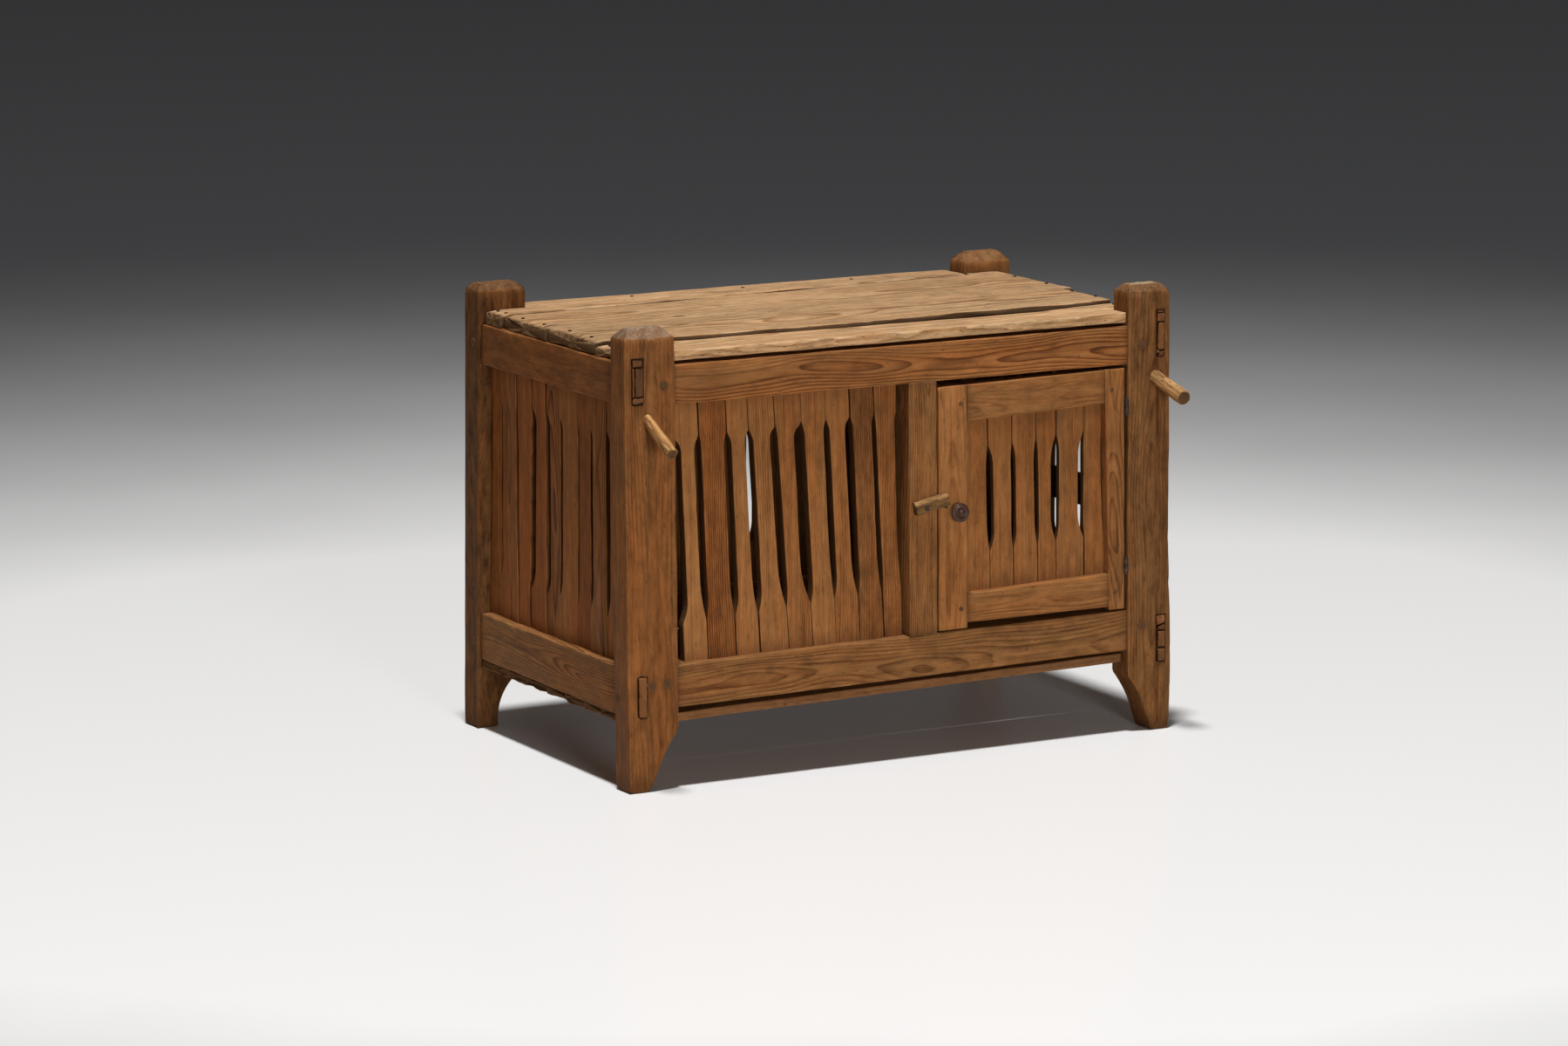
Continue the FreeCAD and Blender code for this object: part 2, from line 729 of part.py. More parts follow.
def top_outlines():
    """Outlines of the top boards from above, notched round the posts, from front to back"""
    near_post = front_left_post_width + notch_clearance
    far_post = right_post_left - notch_clearance
    behind = post_thick + notch_clearance
    back_front = back_face_y(side_upper_rail_top + max(top_board_thicks)) - notch_clearance
    back_edge = depth + top_back_overhang
    left = top_left_inset
    first, second, third = (joint_line(index, 0) for index in range(3))
    first_far, second_far, third_far = (joint_line(index, 1) for index in range(3))
    back_post_left = back_bay_right - notch_clearance
    front_board = [(near_post, top_front_inset), (far_post, top_front_inset), (far_post, behind),
                   (first[-1][0], behind)] + first[::-1] + [(left, behind), (near_post, behind)]
    second_board = first_far + second[::-1]
    third_right = width - top_right_insets[2]
    third_board = (second_far + [(third_right, second_far[-1][1]), (third_right, back_front),
                                 (back_post_left, back_front), (back_post_left, third[-1][1])]
                   + third[::-1])
    fourth_right = back_post_left - top_joint_gap
    back_board = (third_far +
                  [(fourth_right, third_far[-1][1]), (fourth_right, back_edge),
                   (back_left_post_width + notch_clearance, back_edge),
                   (back_left_post_width + notch_clearance, back_front), (left, back_front)])
    return front_board, second_board, third_board, back_board


def make_top():
    for index, outline in enumerate(top_outlines()):
        thick = top_board_thicks[index]
        board = plan_prism(outline, side_upper_rail_top, side_upper_rail_top + thick)
        if index in (0, 3):
            edge_y = top_front_inset if index == 0 else depth + top_back_overhang
            edges = [e for e in board.Edges
                     if all(abs(v.Y - edge_y) + abs(v.Z - side_upper_rail_top - thick) < housing_fit
                            for v in e.Vertexes)]
            board = board.makeFillet(top_edge_round, edges)
        put("top_board_%d" % (index + 1), board)


def floor_z(x):
    """Top of the floor boards, which rise from the left lower rail to the right one"""
    run = (x - left_rail_inner) / (right_rail_outer - left_rail_inner)
    return mix(left_lower_rail_bottom, right_lower_rail_bottom, run)


def floor_joints():
    """Front and back edge of each floor board"""
    front, back = floor_front_inset, back_face_y(floor_z(0)) + post_thick - floor_back_overhang
    joints = [front] + [mix(front, back, share) for share in floor_joint_shares] + [back]
    return [(low + (floor_joint_gap if index else 0), high)
            for index, (low, high) in enumerate(zip(joints, joints[1:]))]


def make_floor():
    left, right = side_rail_recess, width - side_rail_recess
    slab = prism([(left, floor_z(left) - floor_board_thick), (right, floor_z(right) - floor_board_thick),
                  (right, floor_z(right)), (left, floor_z(left))], 0, depth + post_thick)
    around = Vector(notch_clearance, notch_clearance, 0)
    boards = []
    for low, high in floor_joints():
        board = slab.common(block(Vector(0, low, 0), Vector(width, high, post_height)))
        for name in ("front_left_post", "front_right_post", "back_left_post", "back_right_post"):
            box = NODES[name].BoundBox
            corner = Vector(box.XMin, box.YMin, 0)
            if name.startswith("back"):
                corner = Vector(box.XMin, back_face_y(floor_z(right)), 0)
            foot = Vector(box.XMax, corner.y + post_thick, post_height)
            board = board.cut(block(corner - around, foot + around))
        boards.append(board)
    put("floor_boards", Part.makeCompound(boards))


def nail(head_centre, direction, length):
    """Nail with a flat round head, driven along a direction"""
    head = rod(head_centre - direction * (nail_head_thick - nail_sink), direction,
               nail_head_thick, nail_head_radius)
    return head.fuse(rod(head_centre, direction, length, nail_radius))


def top_nail_places():
    """Places of the nails in the top boards, from above, each with the board's thickness"""
    places = []
    left_x = (left_rail_outer + left_rail_inner) / 2
    right_x = (right_rail_outer + right_rail_inner) / 2
    right_ends = [width - inset - nail_end_inset for inset in top_right_insets]
    first_edge = post_thick + notch_clearance
    last_edge = back_face_y(side_upper_rail_top) - notch_clearance
    for middle, side in ((left_x, 0), (right_x, -1)):
        joints = [first_edge] + [depth * row[side][1] for row in top_joint_shares] + [last_edge]
        for index, (low, high) in enumerate(zip(joints, joints[1:])):
            if side and index == len(right_ends):
                continue
            x = min(middle, right_ends[index]) if side else middle
            for share in (nail_edge_share, 1 - nail_edge_share):
                places.append((x, mix(low, high, share), top_board_thicks[index]))
    rail_y = back_face_y(side_upper_rail_top) + rail_thick / 2
    for share in back_nail_shares:
        places.append((mix(back_bay_left, back_bay_right, share), rail_y, top_board_thicks[3]))
    return places


def make_nails():
    nails = []
    for x, y, thick in top_nail_places():
        nails.append(nail(Vector(x, y, side_upper_rail_top + thick), Vector(0, 0, -1), nail_length))
    for x in ((left_rail_outer + left_rail_inner) / 2, (right_rail_outer + right_rail_inner) / 2):
        for low, high in floor_joints():
            for share in (nail_edge_share, 1 - nail_edge_share):
                y = max(mix(low, high, share), post_thick + nail_edge_share * (high - post_thick))
                y = min(y, back_face_y(floor_z(x)) - nail_head_radius - notch_clearance)
                under = Vector(x, y, floor_z(x) - floor_board_thick)
                nails.append(nail(under, Vector(0, 0, 1), nail_length))
    face = width - side_slat_inset - side_slat_thick - batten_thick
    for share in batten_nail_shares:
        y = mix(post_thick, back_face_y(batten_bottom), share)
        nails.append(nail(Vector(face, y, batten_bottom + batten_height / 2), Vector(1, 0, 0),
                          short_nail_length))
    group = Part.makeCompound(nails)
    put("board_nails", group)
    hosts = ["top_board_%d" % (index + 1) for index in range(len(top_board_thicks))]
    hosts += ["left_upper_rail", "right_upper_rail", "left_lower_rail", "right_lower_rail"]
    hosts += ["back_upper_rail", "floor_boards", "right_inner_batten", "right_slats"]
    for name in hosts:
        bore(name, group)


# Dowels, wedges and pegs


def make_dowels():
    """Round dowels across the tenons, driven from the fronts, the sides and the back"""
    upper_z = upper_rail_bottom + upper_rail_height / 2
    lower_z = lower_rail_height / 2 + lower_dowel_lift
    left, right = front_left_post_width, right_post_left
    inward = Vector(0, 1, 0)
    starts = []
    for x, z in ((left - left_dowel_inset, upper_z),
                 (left - left_dowel_inset, front_lower_rail_z(left) + lower_z),
                 (left - second_dowel_inset, front_lower_rail_z(left) + lower_z),
                 (right + right_dowel_inset, upper_z),
                 (right + right_dowel_inset, front_lower_rail_z(right) + lower_z)):
        starts.append((Vector(x, -dowel_proud, z), inward, dowel_depth))
    for x, across in ((0, 1), (width, -1)):
        back_x = x if across > 0 else back_right_outer
        extra = abs(back_x - x)
        sideways = Vector(across, 0, 0)
        starts.append((Vector(x - across * dowel_proud, post_thick - front_side_dowel_inset,
                              side_dowel_height), sideways, side_dowel_depth))
        for z in (side_upper_rail_top - side_upper_dowel_drop, side_dowel_height):
            y = back_face_y(z) + back_side_dowel_inset
            starts.append((Vector(back_x - across * dowel_proud, y, z), sideways,
                           side_dowel_depth + extra))
    group = [rod(start, way, length, dowel_radius) for start, way, length in starts]
    for x in (back_bay_left - left_dowel_inset, back_bay_right + left_dowel_inset):
        for z in (upper_z, back_lower_rail_bottom + back_lower_rail_height / 2):
            start = Vector(x, depth + dowel_proud, z)
            group.append(lean(rod(start, Vector(0, -1, 0), dowel_depth, dowel_radius)))
    group = Part.makeCompound(group)
    put("frame_dowels", group)
    for name in list(NODES):
        if name.endswith("_post") or name.endswith("_rail"):
            bore(name, group)


def wedge(left, tenon_edge, height, upward):
    """Tapered block driven into a through mortise, above or below its tenon"""
    thin = height * wedge_taper_share
    outer = tenon_edge + upward * height
    return prism([(-through_tenon_proud, tenon_edge), (wedge_length, tenon_edge),
                  (wedge_length, tenon_edge + upward * thin), (-through_tenon_proud, outer)],
                 left, left + tenon_thick, side_space)


def make_wedges():
    tenons = side_tenons()
    heights = {"left_upper_rail": (wedge_height, wedge_height),
               "right_upper_rail": (wedge_height, tall_wedge_height),
               "right_lower_rail": (tall_wedge_height, tall_wedge_height)}
    blocks = []
    for name, (below, above) in heights.items():
        left, bottom, height = tenons[name][:3]
        blocks.append(wedge(left, bottom, below, -1))
        blocks.append(wedge(left, bottom + height, above, 1))
    group = Part.makeCompound(blocks)
    put("tenon_wedges", group)
    for name in ("front_left_post", "front_right_post"):
        bore(name, group)


def hanging_peg(x, z, down_angle, reach, root_radius, tip_radius):
    """Peg that slopes down and forward out of a front post, with a bevelled tip"""
    angle = math.radians(down_angle)
    out = Vector(0, -math.cos(angle), -math.sin(angle))
    root = Vector(x, 0, z) - out * peg_root_depth
    length = peg_root_depth + reach / math.cos(angle)
    bar = Part.makeCone(root_radius, tip_radius, length, root, out)
    rim = max((e for e in bar.Edges if e.Closed), key=lambda edge: -edge.BoundBox.YMin)
    return bar.makeChamfer(peg_tip_bevel, [rim])


def make_hanging_pegs():
    upper = side_upper_rail_bottom
    put("left_hanging_peg", hanging_peg(left_peg_inset, upper - left_peg_drop, left_peg_angle,
                                        left_peg_reach, left_peg_root_radius, left_peg_tip_radius))
    put("right_hanging_peg", hanging_peg(width - right_peg_inset, upper - right_peg_drop,
                                         right_peg_angle, right_peg_reach, right_peg_root_radius,
                                         right_peg_tip_radius))
    bore("front_left_post", NODES["left_hanging_peg"])
    bore("front_right_post", NODES["right_hanging_peg"])


# Door


def door_share(x):
    return (x - door_left) / (door_right - door_left)


def door_top(x):
    """Top edge of the door, which rises towards the hinges"""
    return upper_rail_bottom - mix(door_head_gap_left, door_head_gap_right, door_share(x))


def door_foot(x):
    """Bottom edge of the door's stiles, which follows the sloping rail below"""
    return front_lower_rail_z(x, lower_rail_height) + door_sill_gap


def rail_share(x):
    """Share of the way across the door between its stiles"""
    left = door_left + latch_stile_width
    return (x - left) / (door_right - hinge_stile_width_top - left)


def door_head(x):
    """Underside of the door's top rail"""
    return door_top(x) - mix(*door_top_rail_heights, rail_share(x))


def door_sill(x):
    """Upper edge of the door's bottom rail"""
    return door_foot(x) + door_rail_lift + mix(*door_bottom_rail_heights, rail_share(x)) - rail_slope(x)


def rail_slope(x):
    """How far the sloping rail below has risen at a place along the door"""
    return front_lower_rail_z(x) - front_lower_rail_z(door_left)


def hinge_stile_edge(z):
    """Inner edge of the hinge stile, which is narrower at its foot"""
    low, high = door_foot(door_right), door_top(door_right)
    return door_right - mix(hinge_stile_width_foot, hinge_stile_width_top, (z - low) / (high - low))


def door_tenon(x, reach, bottom, top):
    setback = (door_thick - door_tenon_thick) / 2
    return block(Vector(min(x, x + reach), setback, bottom + door_tenon_shoulder),
                 Vector(max(x, x + reach), setback + door_tenon_thick, top - door_tenon_shoulder))


def door_panel():
    return Panel(
        near=lambda z: door_left + latch_stile_width, far=hinge_stile_edge,
        sill=door_sill, head=door_head,
        face=door_slat_recess, thick=door_slat_thick, housing=door_housing_depth,
        shoulders=((door_near_shoulder, door_near_shoulder), (door_far_shoulder, door_far_shoulder)),
        slots=door_slot_shares, to_space=front_space)


def make_door():
    inner = door_left + latch_stile_width
    put("door_latch_stile", prism([(door_left, door_foot(door_left)), (inner, door_foot(inner)),
                                   (inner, door_top(inner)), (door_left, door_top(door_left))],
                                  0, door_thick))
    low, high = door_foot(door_right), door_top(door_right)
    put("door_hinge_stile", prism([(hinge_stile_edge(low), low), (door_right, low),
                                   (door_right, high), (hinge_stile_edge(high), high)],
                                  0, door_thick))
    foot = door_foot(door_left) + door_rail_lift
    for name, upper, lower in (("door_top_rail", door_top, door_head),
                               ("door_bottom_rail", door_sill, lambda x: foot)):
        middle = (upper(inner) + lower(inner)) / 2
        far_low, far_high = hinge_stile_edge(lower(inner)), hinge_stile_edge(upper(inner))
        rail = prism([(inner, lower(inner)), (far_low, lower(far_low)),
                      (far_high, upper(far_high)), (inner, upper(inner))], 0, door_thick)
        far = hinge_stile_edge(middle)
        low, high = max(lower(inner), lower(far)), min(upper(inner), upper(far))
        rail = rail.fuse(door_tenon(inner, -door_tenon_length, low, high))
        start = far - overrun
        rail = rail.fuse(door_tenon(start, door_tenon_length + overrun, low, high))
        rail = rail.removeSplitter()
        bore("door_latch_stile", rail)
        bore("door_hinge_stile", rail)
        put(name, rail)
    panel = door_panel()
    for index, row in enumerate(door_slat_shares):
        put("door_slat_%d" % (index + 1), slat(panel, row))
    for name, edge, inward in (("door_top_rail", panel.head, 1), ("door_bottom_rail", panel.sill, -1)):
        near, far = panel.near(0), panel.far(edge(panel.near(0)))
        floor = [(u, edge(u) + inward * panel.housing) for u in (near, far)]
        mouth = [(u, edge(u) - inward * overrun) for u in (far, near)]
        bore(name, prism(floor + mouth, panel.face - housing_fit,
                         panel.face + panel.thick + housing_fit))


def make_door_dowels():
    inner = door_left + latch_stile_width
    levels = ((door_top, door_head), (door_sill, lambda x: door_foot(door_left) + door_rail_lift))
    pins = []
    for upper, lower in levels:
        z = (upper(inner) + lower(inner)) / 2
        for x in (inner - door_dowel_inset, hinge_stile_edge(z) + door_dowel_inset):
            pins.append(rod(Vector(x, -dowel_proud, z), Vector(0, 1, 0),
                            door_dowel_depth, door_dowel_radius))
    group = Part.makeCompound(pins)
    put("door_dowels", group)
    for name in ("door_latch_stile", "door_hinge_stile", "door_top_rail", "door_bottom_rail"):
        bore(name, group)


# Hinges


def hinge_levels():
    """Height of the middle of each hinge"""
    return {"upper": upper_rail_bottom - upper_hinge_drop,
            "lower": front_lower_rail_z(door_right, lower_rail_height) + lower_hinge_lift}


def hinge_leaf(z, first_knuckle, plate_left, bore_radius):
    """Leaf with every second knuckle of the barrel, starting from the given one"""
    step = hinge_height / hinge_knuckles
    low = z - hinge_height / 2
    plate = block(Vector(plate_left, leaf_standoff, low),
                  Vector(plate_left + leaf_thick, leaf_width, low + hinge_height))
    for index in range(first_knuckle, hinge_knuckles, 2):
        bottom = low + step * index + knuckle_play / 2
        top = bottom + step - knuckle_play
        ring = rod(Vector(hinge_x, hinge_y, bottom), Vector(0, 0, 1), top - bottom, barrel_radius)
        right = plate_left + leaf_thick
        strap = block(Vector(min(hinge_x, plate_left), -leaf_thick, bottom), Vector(right, 0, top))
        root = block(Vector(plate_left, -leaf_thick, bottom), Vector(right, leaf_standoff, top))
        plate = plate.fuse([ring, strap, root])
    hole = rod(Vector(hinge_x, hinge_y, low - overrun), Vector(0, 0, 1),
               hinge_height + 2 * overrun, bore_radius)
    return plate.cut(hole).removeSplitter()


def hinge_pin(z):
    low = z - hinge_height / 2
    shank = rod(Vector(hinge_x, hinge_y, low), Vector(0, 0, 1), hinge_height, hinge_pin_radius)
    top = Vector(hinge_x, hinge_y, low + hinge_height)
    head = Part.makeCone(pin_head_radius, hinge_pin_radius, pin_head_height, top)
    return shank.fuse(head).removeSplitter()


def leaf_screw(face_x, z, way):
    """Countersunk screw through a leaf; way is -1 into the door, 1 into the post"""
    across = Vector(way, 0, 0)
    start = Vector(face_x - way * leaf_thick, mix(leaf_standoff, leaf_width, screw_reach_share), z)
    head = Part.makeCone(screw_head_radius, screw_radius, leaf_thick, start, across)
    return head.fuse(rod(start, across, screw_length, screw_radius)).removeSplitter()


def make_hinges():
    door_screws, post_screws = [], []
    for name, z in hinge_levels().items():
        post_leaf = right_post_left - leaf_thick
        put(name + "_hinge_post_leaf", hinge_leaf(z, 0, post_leaf, hinge_pin_radius))
        put(name + "_hinge_door_leaf", hinge_leaf(z, 1, door_right, hinge_pin_radius + hinge_play))
        put(name + "_hinge_pin", hinge_pin(z))
        for offset in (-hinge_height * screw_share, hinge_height * screw_share):
            door_screws.append(leaf_screw(door_right, z + offset, -1))
            post_screws.append(leaf_screw(right_post_left, z + offset, 1))
    put("hinge_door_screws", Part.makeCompound(door_screws))
    put("hinge_post_screws", Part.makeCompound(post_screws))
    for name in hinge_levels():
        bore(name + "_hinge_post_leaf", NODES["hinge_post_screws"])
        bore(name + "_hinge_door_leaf", NODES["hinge_door_screws"])
    bore("front_right_post", NODES["hinge_post_screws"])
    bore("door_hinge_stile", NODES["hinge_door_screws"])


# Knob and latch


def make_knob():
    """Turned knob: neck, rim, a groove and a boss in its front, and a shank in the stile"""
    rim_back = knob_height * (1 - knob_front_share)
    rim_front = knob_height * knob_front_share
    profile = [
        (0, knob_shank_length), (knob_shank_radius, knob_shank_length), (knob_shank_radius, 0),
        (knob_neck_radius, 0), (knob_neck_radius, -rim_back),
        (knob_radius, -mix(rim_back, rim_front, knob_rim_share)),
        (knob_radius, -rim_front),
        (knob_radius * knob_front_share, -knob_height),
        (knob_radius * knob_groove_share, -knob_height),
        (mix(knob_radius * knob_boss_share, knob_radius * knob_groove_share, 1 / 2), -rim_front),
        (knob_radius * knob_boss_share, -knob_height), (0, -knob_height),
    ]
    corners = [Vector(radius, out, 0) for radius, out in profile]
    face = Part.Face(Part.makePolygon(corners + corners[:1]))
    knob = face.revolve(Vector(0, 0, 0), Vector(0, 1, 0), 360)
    knob.translate(Vector(door_left + knob_inset, 0, latch_height - knob_drop))
    put("door_knob", knob)
    bore("door_latch_stile", knob)


def latch_point(along, across):
    """Point of the tilted latch, from its pivot: along its length and square to it"""
    angle = math.radians(latch_tilt)
    x = (mullion_left + mullion_right) / 2
    return (x + along * math.cos(angle) - across * math.sin(angle),
            latch_height + along * math.sin(angle) + across * math.cos(angle))


def latch_half_height(along):
    """Half the height of the latch's front face at a place along it"""
    share = (along + latch_tail) / (latch_tail + latch_reach)
    return mix(latch_tail_height, latch_tip_height, share) / 2


def latch_end(along):
    """Outline across the latch, whose top face slopes down to the front"""
    half = latch_half_height(along)
    back, front = -latch_standoff, -latch_standoff - latch_thick
    outline = [(-half, back), (-half, front), (half, front), (half + latch_bevel, back)]
    corners = []
    for across, y in outline:
        x, z = latch_point(along, across)
        corners.append(Vector(x, y, z))
    return Part.makePolygon(corners + corners[:1])


def make_latch():
    body = Part.makeLoft([latch_end(-latch_tail), latch_end(latch_reach)], True, True)
    x, z = latch_point(0, 0)
    inward = Vector(0, 1, 0)
    front = -latch_standoff - latch_thick
    hole = rod(Vector(x, front - overrun, z), inward, latch_thick + 2 * overrun,
               latch_nail_radius + hinge_play)
    put("turn_latch", body.cut(hole))
    head_back = front - latch_head_gap
    shank = rod(Vector(x, head_back, z), inward, latch_nail_depth, latch_nail_radius)
    head = rod(Vector(x, head_back - nail_head_thick, z), inward, nail_head_thick,
               latch_nail_head_radius)
    put("latch_nail", shank.fuse(head).removeSplitter())
    bore("front_mullion", NODES["latch_nail"])
    below = -latch_half_height(rest_nail_reach) - rest_gap - rest_nail_radius
    x, z = latch_point(rest_nail_reach, below)
    put("latch_rest_nail", rod(Vector(x, -rest_nail_proud, z), inward,
                               rest_nail_proud + rest_nail_length, rest_nail_radius))
    bore("door_latch_stile", NODES["latch_rest_nail"])


def seat_rails_in_posts():
    """Cuts the mortises that the rails' tenons fill"""
    for post_name in ("front_left_post", "front_right_post", "back_left_post", "back_right_post"):
        end, side = post_name.split("_")[:2]
        for level in ("upper", "lower"):
            bore(post_name, NODES["%s_%s_rail" % (end, level)])
            bore(post_name, NODES["%s_%s_rail" % (side, level)])


def base_centre():
    """Middle of the finished chest's base"""
    box = Part.makeCompound(list(NODES.values())).optimalBoundingBox(False, False)
    return Vector((box.XMin + box.XMax) / 2, (box.YMin + box.YMax) / 2, 0)


def main():
    make_posts()
    make_front_rails()
    make_back_rails()
    make_side_rails()
    make_mullion()
    make_panels()
    make_batten()
    seat_rails_in_posts()
    make_top()
    make_floor()
    make_nails()
    make_dowels()
    make_wedges()
    make_hanging_pegs()
    make_door()
    make_door_dowels()
    make_hinges()
    make_knob()
    make_latch()
    centre = base_centre()
    os.makedirs("parts", exist_ok=True)
    for name, shape in NODES.items():
        moved = shape.copy()
        moved.translate(centre * -1)
        moved.exportStep("parts/%s.step" % name)
    print("nodes", len(NODES), "origin", centre, "door axis", Vector(hinge_x, hinge_y, 0) - centre)
    print("latch axis", Vector(latch_point(0, 0)[0], 0, latch_point(0, 0)[1]) - centre)


main()
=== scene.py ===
import math

import bpy
import numpy as np
from bpy.props import FloatProperty, FloatVectorProperty, IntProperty, PointerProperty
from mathutils import Matrix, Vector


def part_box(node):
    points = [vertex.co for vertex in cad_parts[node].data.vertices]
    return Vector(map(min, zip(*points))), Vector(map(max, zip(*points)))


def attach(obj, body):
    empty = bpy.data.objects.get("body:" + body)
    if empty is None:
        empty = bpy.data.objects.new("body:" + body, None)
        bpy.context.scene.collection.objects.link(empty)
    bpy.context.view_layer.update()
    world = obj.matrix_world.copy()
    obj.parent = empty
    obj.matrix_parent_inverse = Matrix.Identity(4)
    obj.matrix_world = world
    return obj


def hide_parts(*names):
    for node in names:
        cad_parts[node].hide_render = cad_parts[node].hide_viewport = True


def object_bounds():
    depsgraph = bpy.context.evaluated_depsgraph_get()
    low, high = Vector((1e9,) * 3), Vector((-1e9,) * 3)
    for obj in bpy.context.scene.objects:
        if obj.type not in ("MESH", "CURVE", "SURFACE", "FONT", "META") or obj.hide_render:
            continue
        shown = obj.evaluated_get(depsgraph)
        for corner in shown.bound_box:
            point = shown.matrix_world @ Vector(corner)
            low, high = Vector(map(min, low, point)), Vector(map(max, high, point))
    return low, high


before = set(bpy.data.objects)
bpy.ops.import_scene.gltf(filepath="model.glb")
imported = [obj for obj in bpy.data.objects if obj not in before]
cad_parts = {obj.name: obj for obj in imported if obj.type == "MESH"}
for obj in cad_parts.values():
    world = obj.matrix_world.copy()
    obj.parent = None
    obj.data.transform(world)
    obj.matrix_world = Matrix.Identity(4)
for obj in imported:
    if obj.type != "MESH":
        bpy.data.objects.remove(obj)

bl_info = {
    "name": "Slatted storage chest",
    "version": (1, 0, 0),
    "blender": (4, 5, 0),
    "location": "3D View > Sidebar > Chest",
    "description": "Builds the worn wooden pieces, irons and stage of a slatted storage chest",
    "category": "Object",
}

CAD_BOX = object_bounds()
MM = 0.001
X, Y, Z = 0, 1, 2

# The front left post's outer corner at the floor: places on the fronts are laid out from it
CORNER = np.array(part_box("front_left_post")[0])


def at(x, y, z):
    """Point laid out in millimetres from the front left corner, as metres in the frame"""
    return CORNER + np.array([x, y, z]) * MM


# Channels of the wear attribute: the dirt channel also carries painted shade, and the arris channel
# a painted highlight
ARRIS_AND_HIGHLIGHT, END, DIRT_AND_SHADE = 0, 1, 2


def raise_to(wear, channel, values):
    """Raises one channel of the wear to the values where they are higher"""
    wear[..., channel] = np.maximum(wear[..., channel], values)


def on(axis, value):
    """Place on one axis, laid out in millimetres from the front left corner, as metres"""
    return CORNER[axis] + value * MM


# Settings


def colour(name, words, value):
    return FloatVectorProperty(name=name, description=words, default=value, subtype="COLOR",
                               size=3, min=0.0, max=1.0)


def length(name, words, value):
    return FloatProperty(name=name, description=words, default=value, subtype="DISTANCE",
                         unit="LENGTH", min=0.0)


class ChestColours(bpy.types.PropertyGroup):
    frame_pale: colour("Frame, pale", "Early wood of the posts and rails", (0.325, 0.142, 0.048))
    frame_dark: colour("Frame, dark", "Late wood of the posts and rails", (0.120, 0.043, 0.014))
    slat_pale: colour("Slats, pale", "Early wood of the slats", (0.335, 0.143, 0.047))
    slat_dark: colour("Slats, dark", "Late wood of the slats", (0.125, 0.043, 0.013))
    top_pale: colour("Top, pale", "Early wood of the scrubbed top", (0.520, 0.325, 0.172))
    top_dark: colour("Top, dark", "Late wood of the scrubbed top", (0.290, 0.155, 0.068))
    top_bare: colour("Top, rubbed", "Rubbed arrises of the top", (0.66, 0.45, 0.26))
    floor_pale: colour("Floor, pale", "Early wood of the floor boards", (0.255, 0.130, 0.058))
    floor_dark: colour("Floor, dark", "Late wood of the floor boards", (0.14, 0.052, 0.018))
    dowel_pale: colour("Dowels, pale", "Dowels, wedges and tenon ends", (0.200, 0.092, 0.038))
    dowel_dark: colour("Dowels, dark", "Rings of the dowels and wedges", (0.080, 0.036, 0.016))
    peg_pale: colour("Pegs, pale", "Rubbed wood of the pegs and the latch", (0.50, 0.300, 0.125))
    peg_dark: colour("Pegs, dark", "Grain of the pegs and the latch", (0.200, 0.090, 0.032))
    # The stain colour also paints shade in the slots, the seams, the recesses and at the post feet
    stain: colour("Stains", "Old dirt in the grain", (0.052, 0.024, 0.012))
    # The rubbed colour also paints the highlight on the latch's sloping top
    bare: colour("Bare wood", "Rubbed arrises", (0.45, 0.240, 0.092))
    end_silver: colour("Silvered top", "Silvered top of the front left post", (0.35, 0.28, 0.205))
    end_pale: colour("Post tops", "Bleached tops of the other posts", (0.47, 0.34, 0.215))
    end_grey: colour("End grain", "Weathered end grain of boards and slats", (0.120, 0.063, 0.028))
    end_dark: colour("Plugs", "Dirty end grain of dowels and tenons", (0.100, 0.056, 0.031))
    knob: colour("Knob", "Polished dark wood of the knob", (0.048, 0.020, 0.012))
    iron: colour("Iron", "Blackened iron", (0.030, 0.027, 0.025))
    rust: colour("Rust", "Brown bloom on the iron", (0.105, 0.048, 0.024))


class ChestWear(bpy.types.PropertyGroup):
    arris: length("Arris", "Radius of a worn long edge", 2.2 * MM)
    slat_arris: length("Slat arris", "Radius of a slat's edge", 1.5 * MM)
    board_arris: length("Board arris", "Radius of a top board's edge", 3.5 * MM)
    uneven: length("Unevenness", "Depth of the hollows that the plane left", 0.7 * MM)
    joint: length("Joint line", "Width of the rounded edge beside a joint", 0.7 * MM)
    bury: length("Bury", "How far a piece runs on inside its neighbour", 2.0 * MM)
    end_wear: length("End wear", "How far the ends of the top boards have broken back", 9.0 * MM)
    step: length("Step", "Distance between the rings of a mesh", 6.0 * MM)
    seed: IntProperty(name="Seed", description="Start of every random choice", default=7, min=0)


class ChestStage(bpy.types.PropertyGroup):
    lens: FloatProperty(name="Lens", description="Focal length on a 36 mm sensor", default=128.07,
                        min=1.0, subtype="DISTANCE_CAMERA")
    key: FloatProperty(name="Key lamp", description="Power of the lamp high over the chest",
                       default=2600.0, min=0.0, unit="POWER")
    fill: FloatProperty(name="Fill lamp", description="Power of the wide lamp in front",
                        default=290.0, min=0.0, unit="POWER")
    world: FloatProperty(name="World", description="Strength of the even light", default=0.05,
                         min=0.0)
    warmth: colour("Warmth", "Colour of the even light", (1.0, 0.80, 0.62))
    floor: colour("Floor", "Pale studio floor as the camera sees it", (1.0, 1.0, 1.0))
    bounce: colour("Bounce", "Floor colour that lights the chest from below", (0.50, 0.43, 0.33))
    backdrop: colour("Backdrop", "Grey behind the floor", (0.058, 0.059, 0.062))


# Shapes


# Sine waves that a ripple sums, and what brings their sum to about -1 to 1
WAVES, WAVE_SUM = 12, 4.2


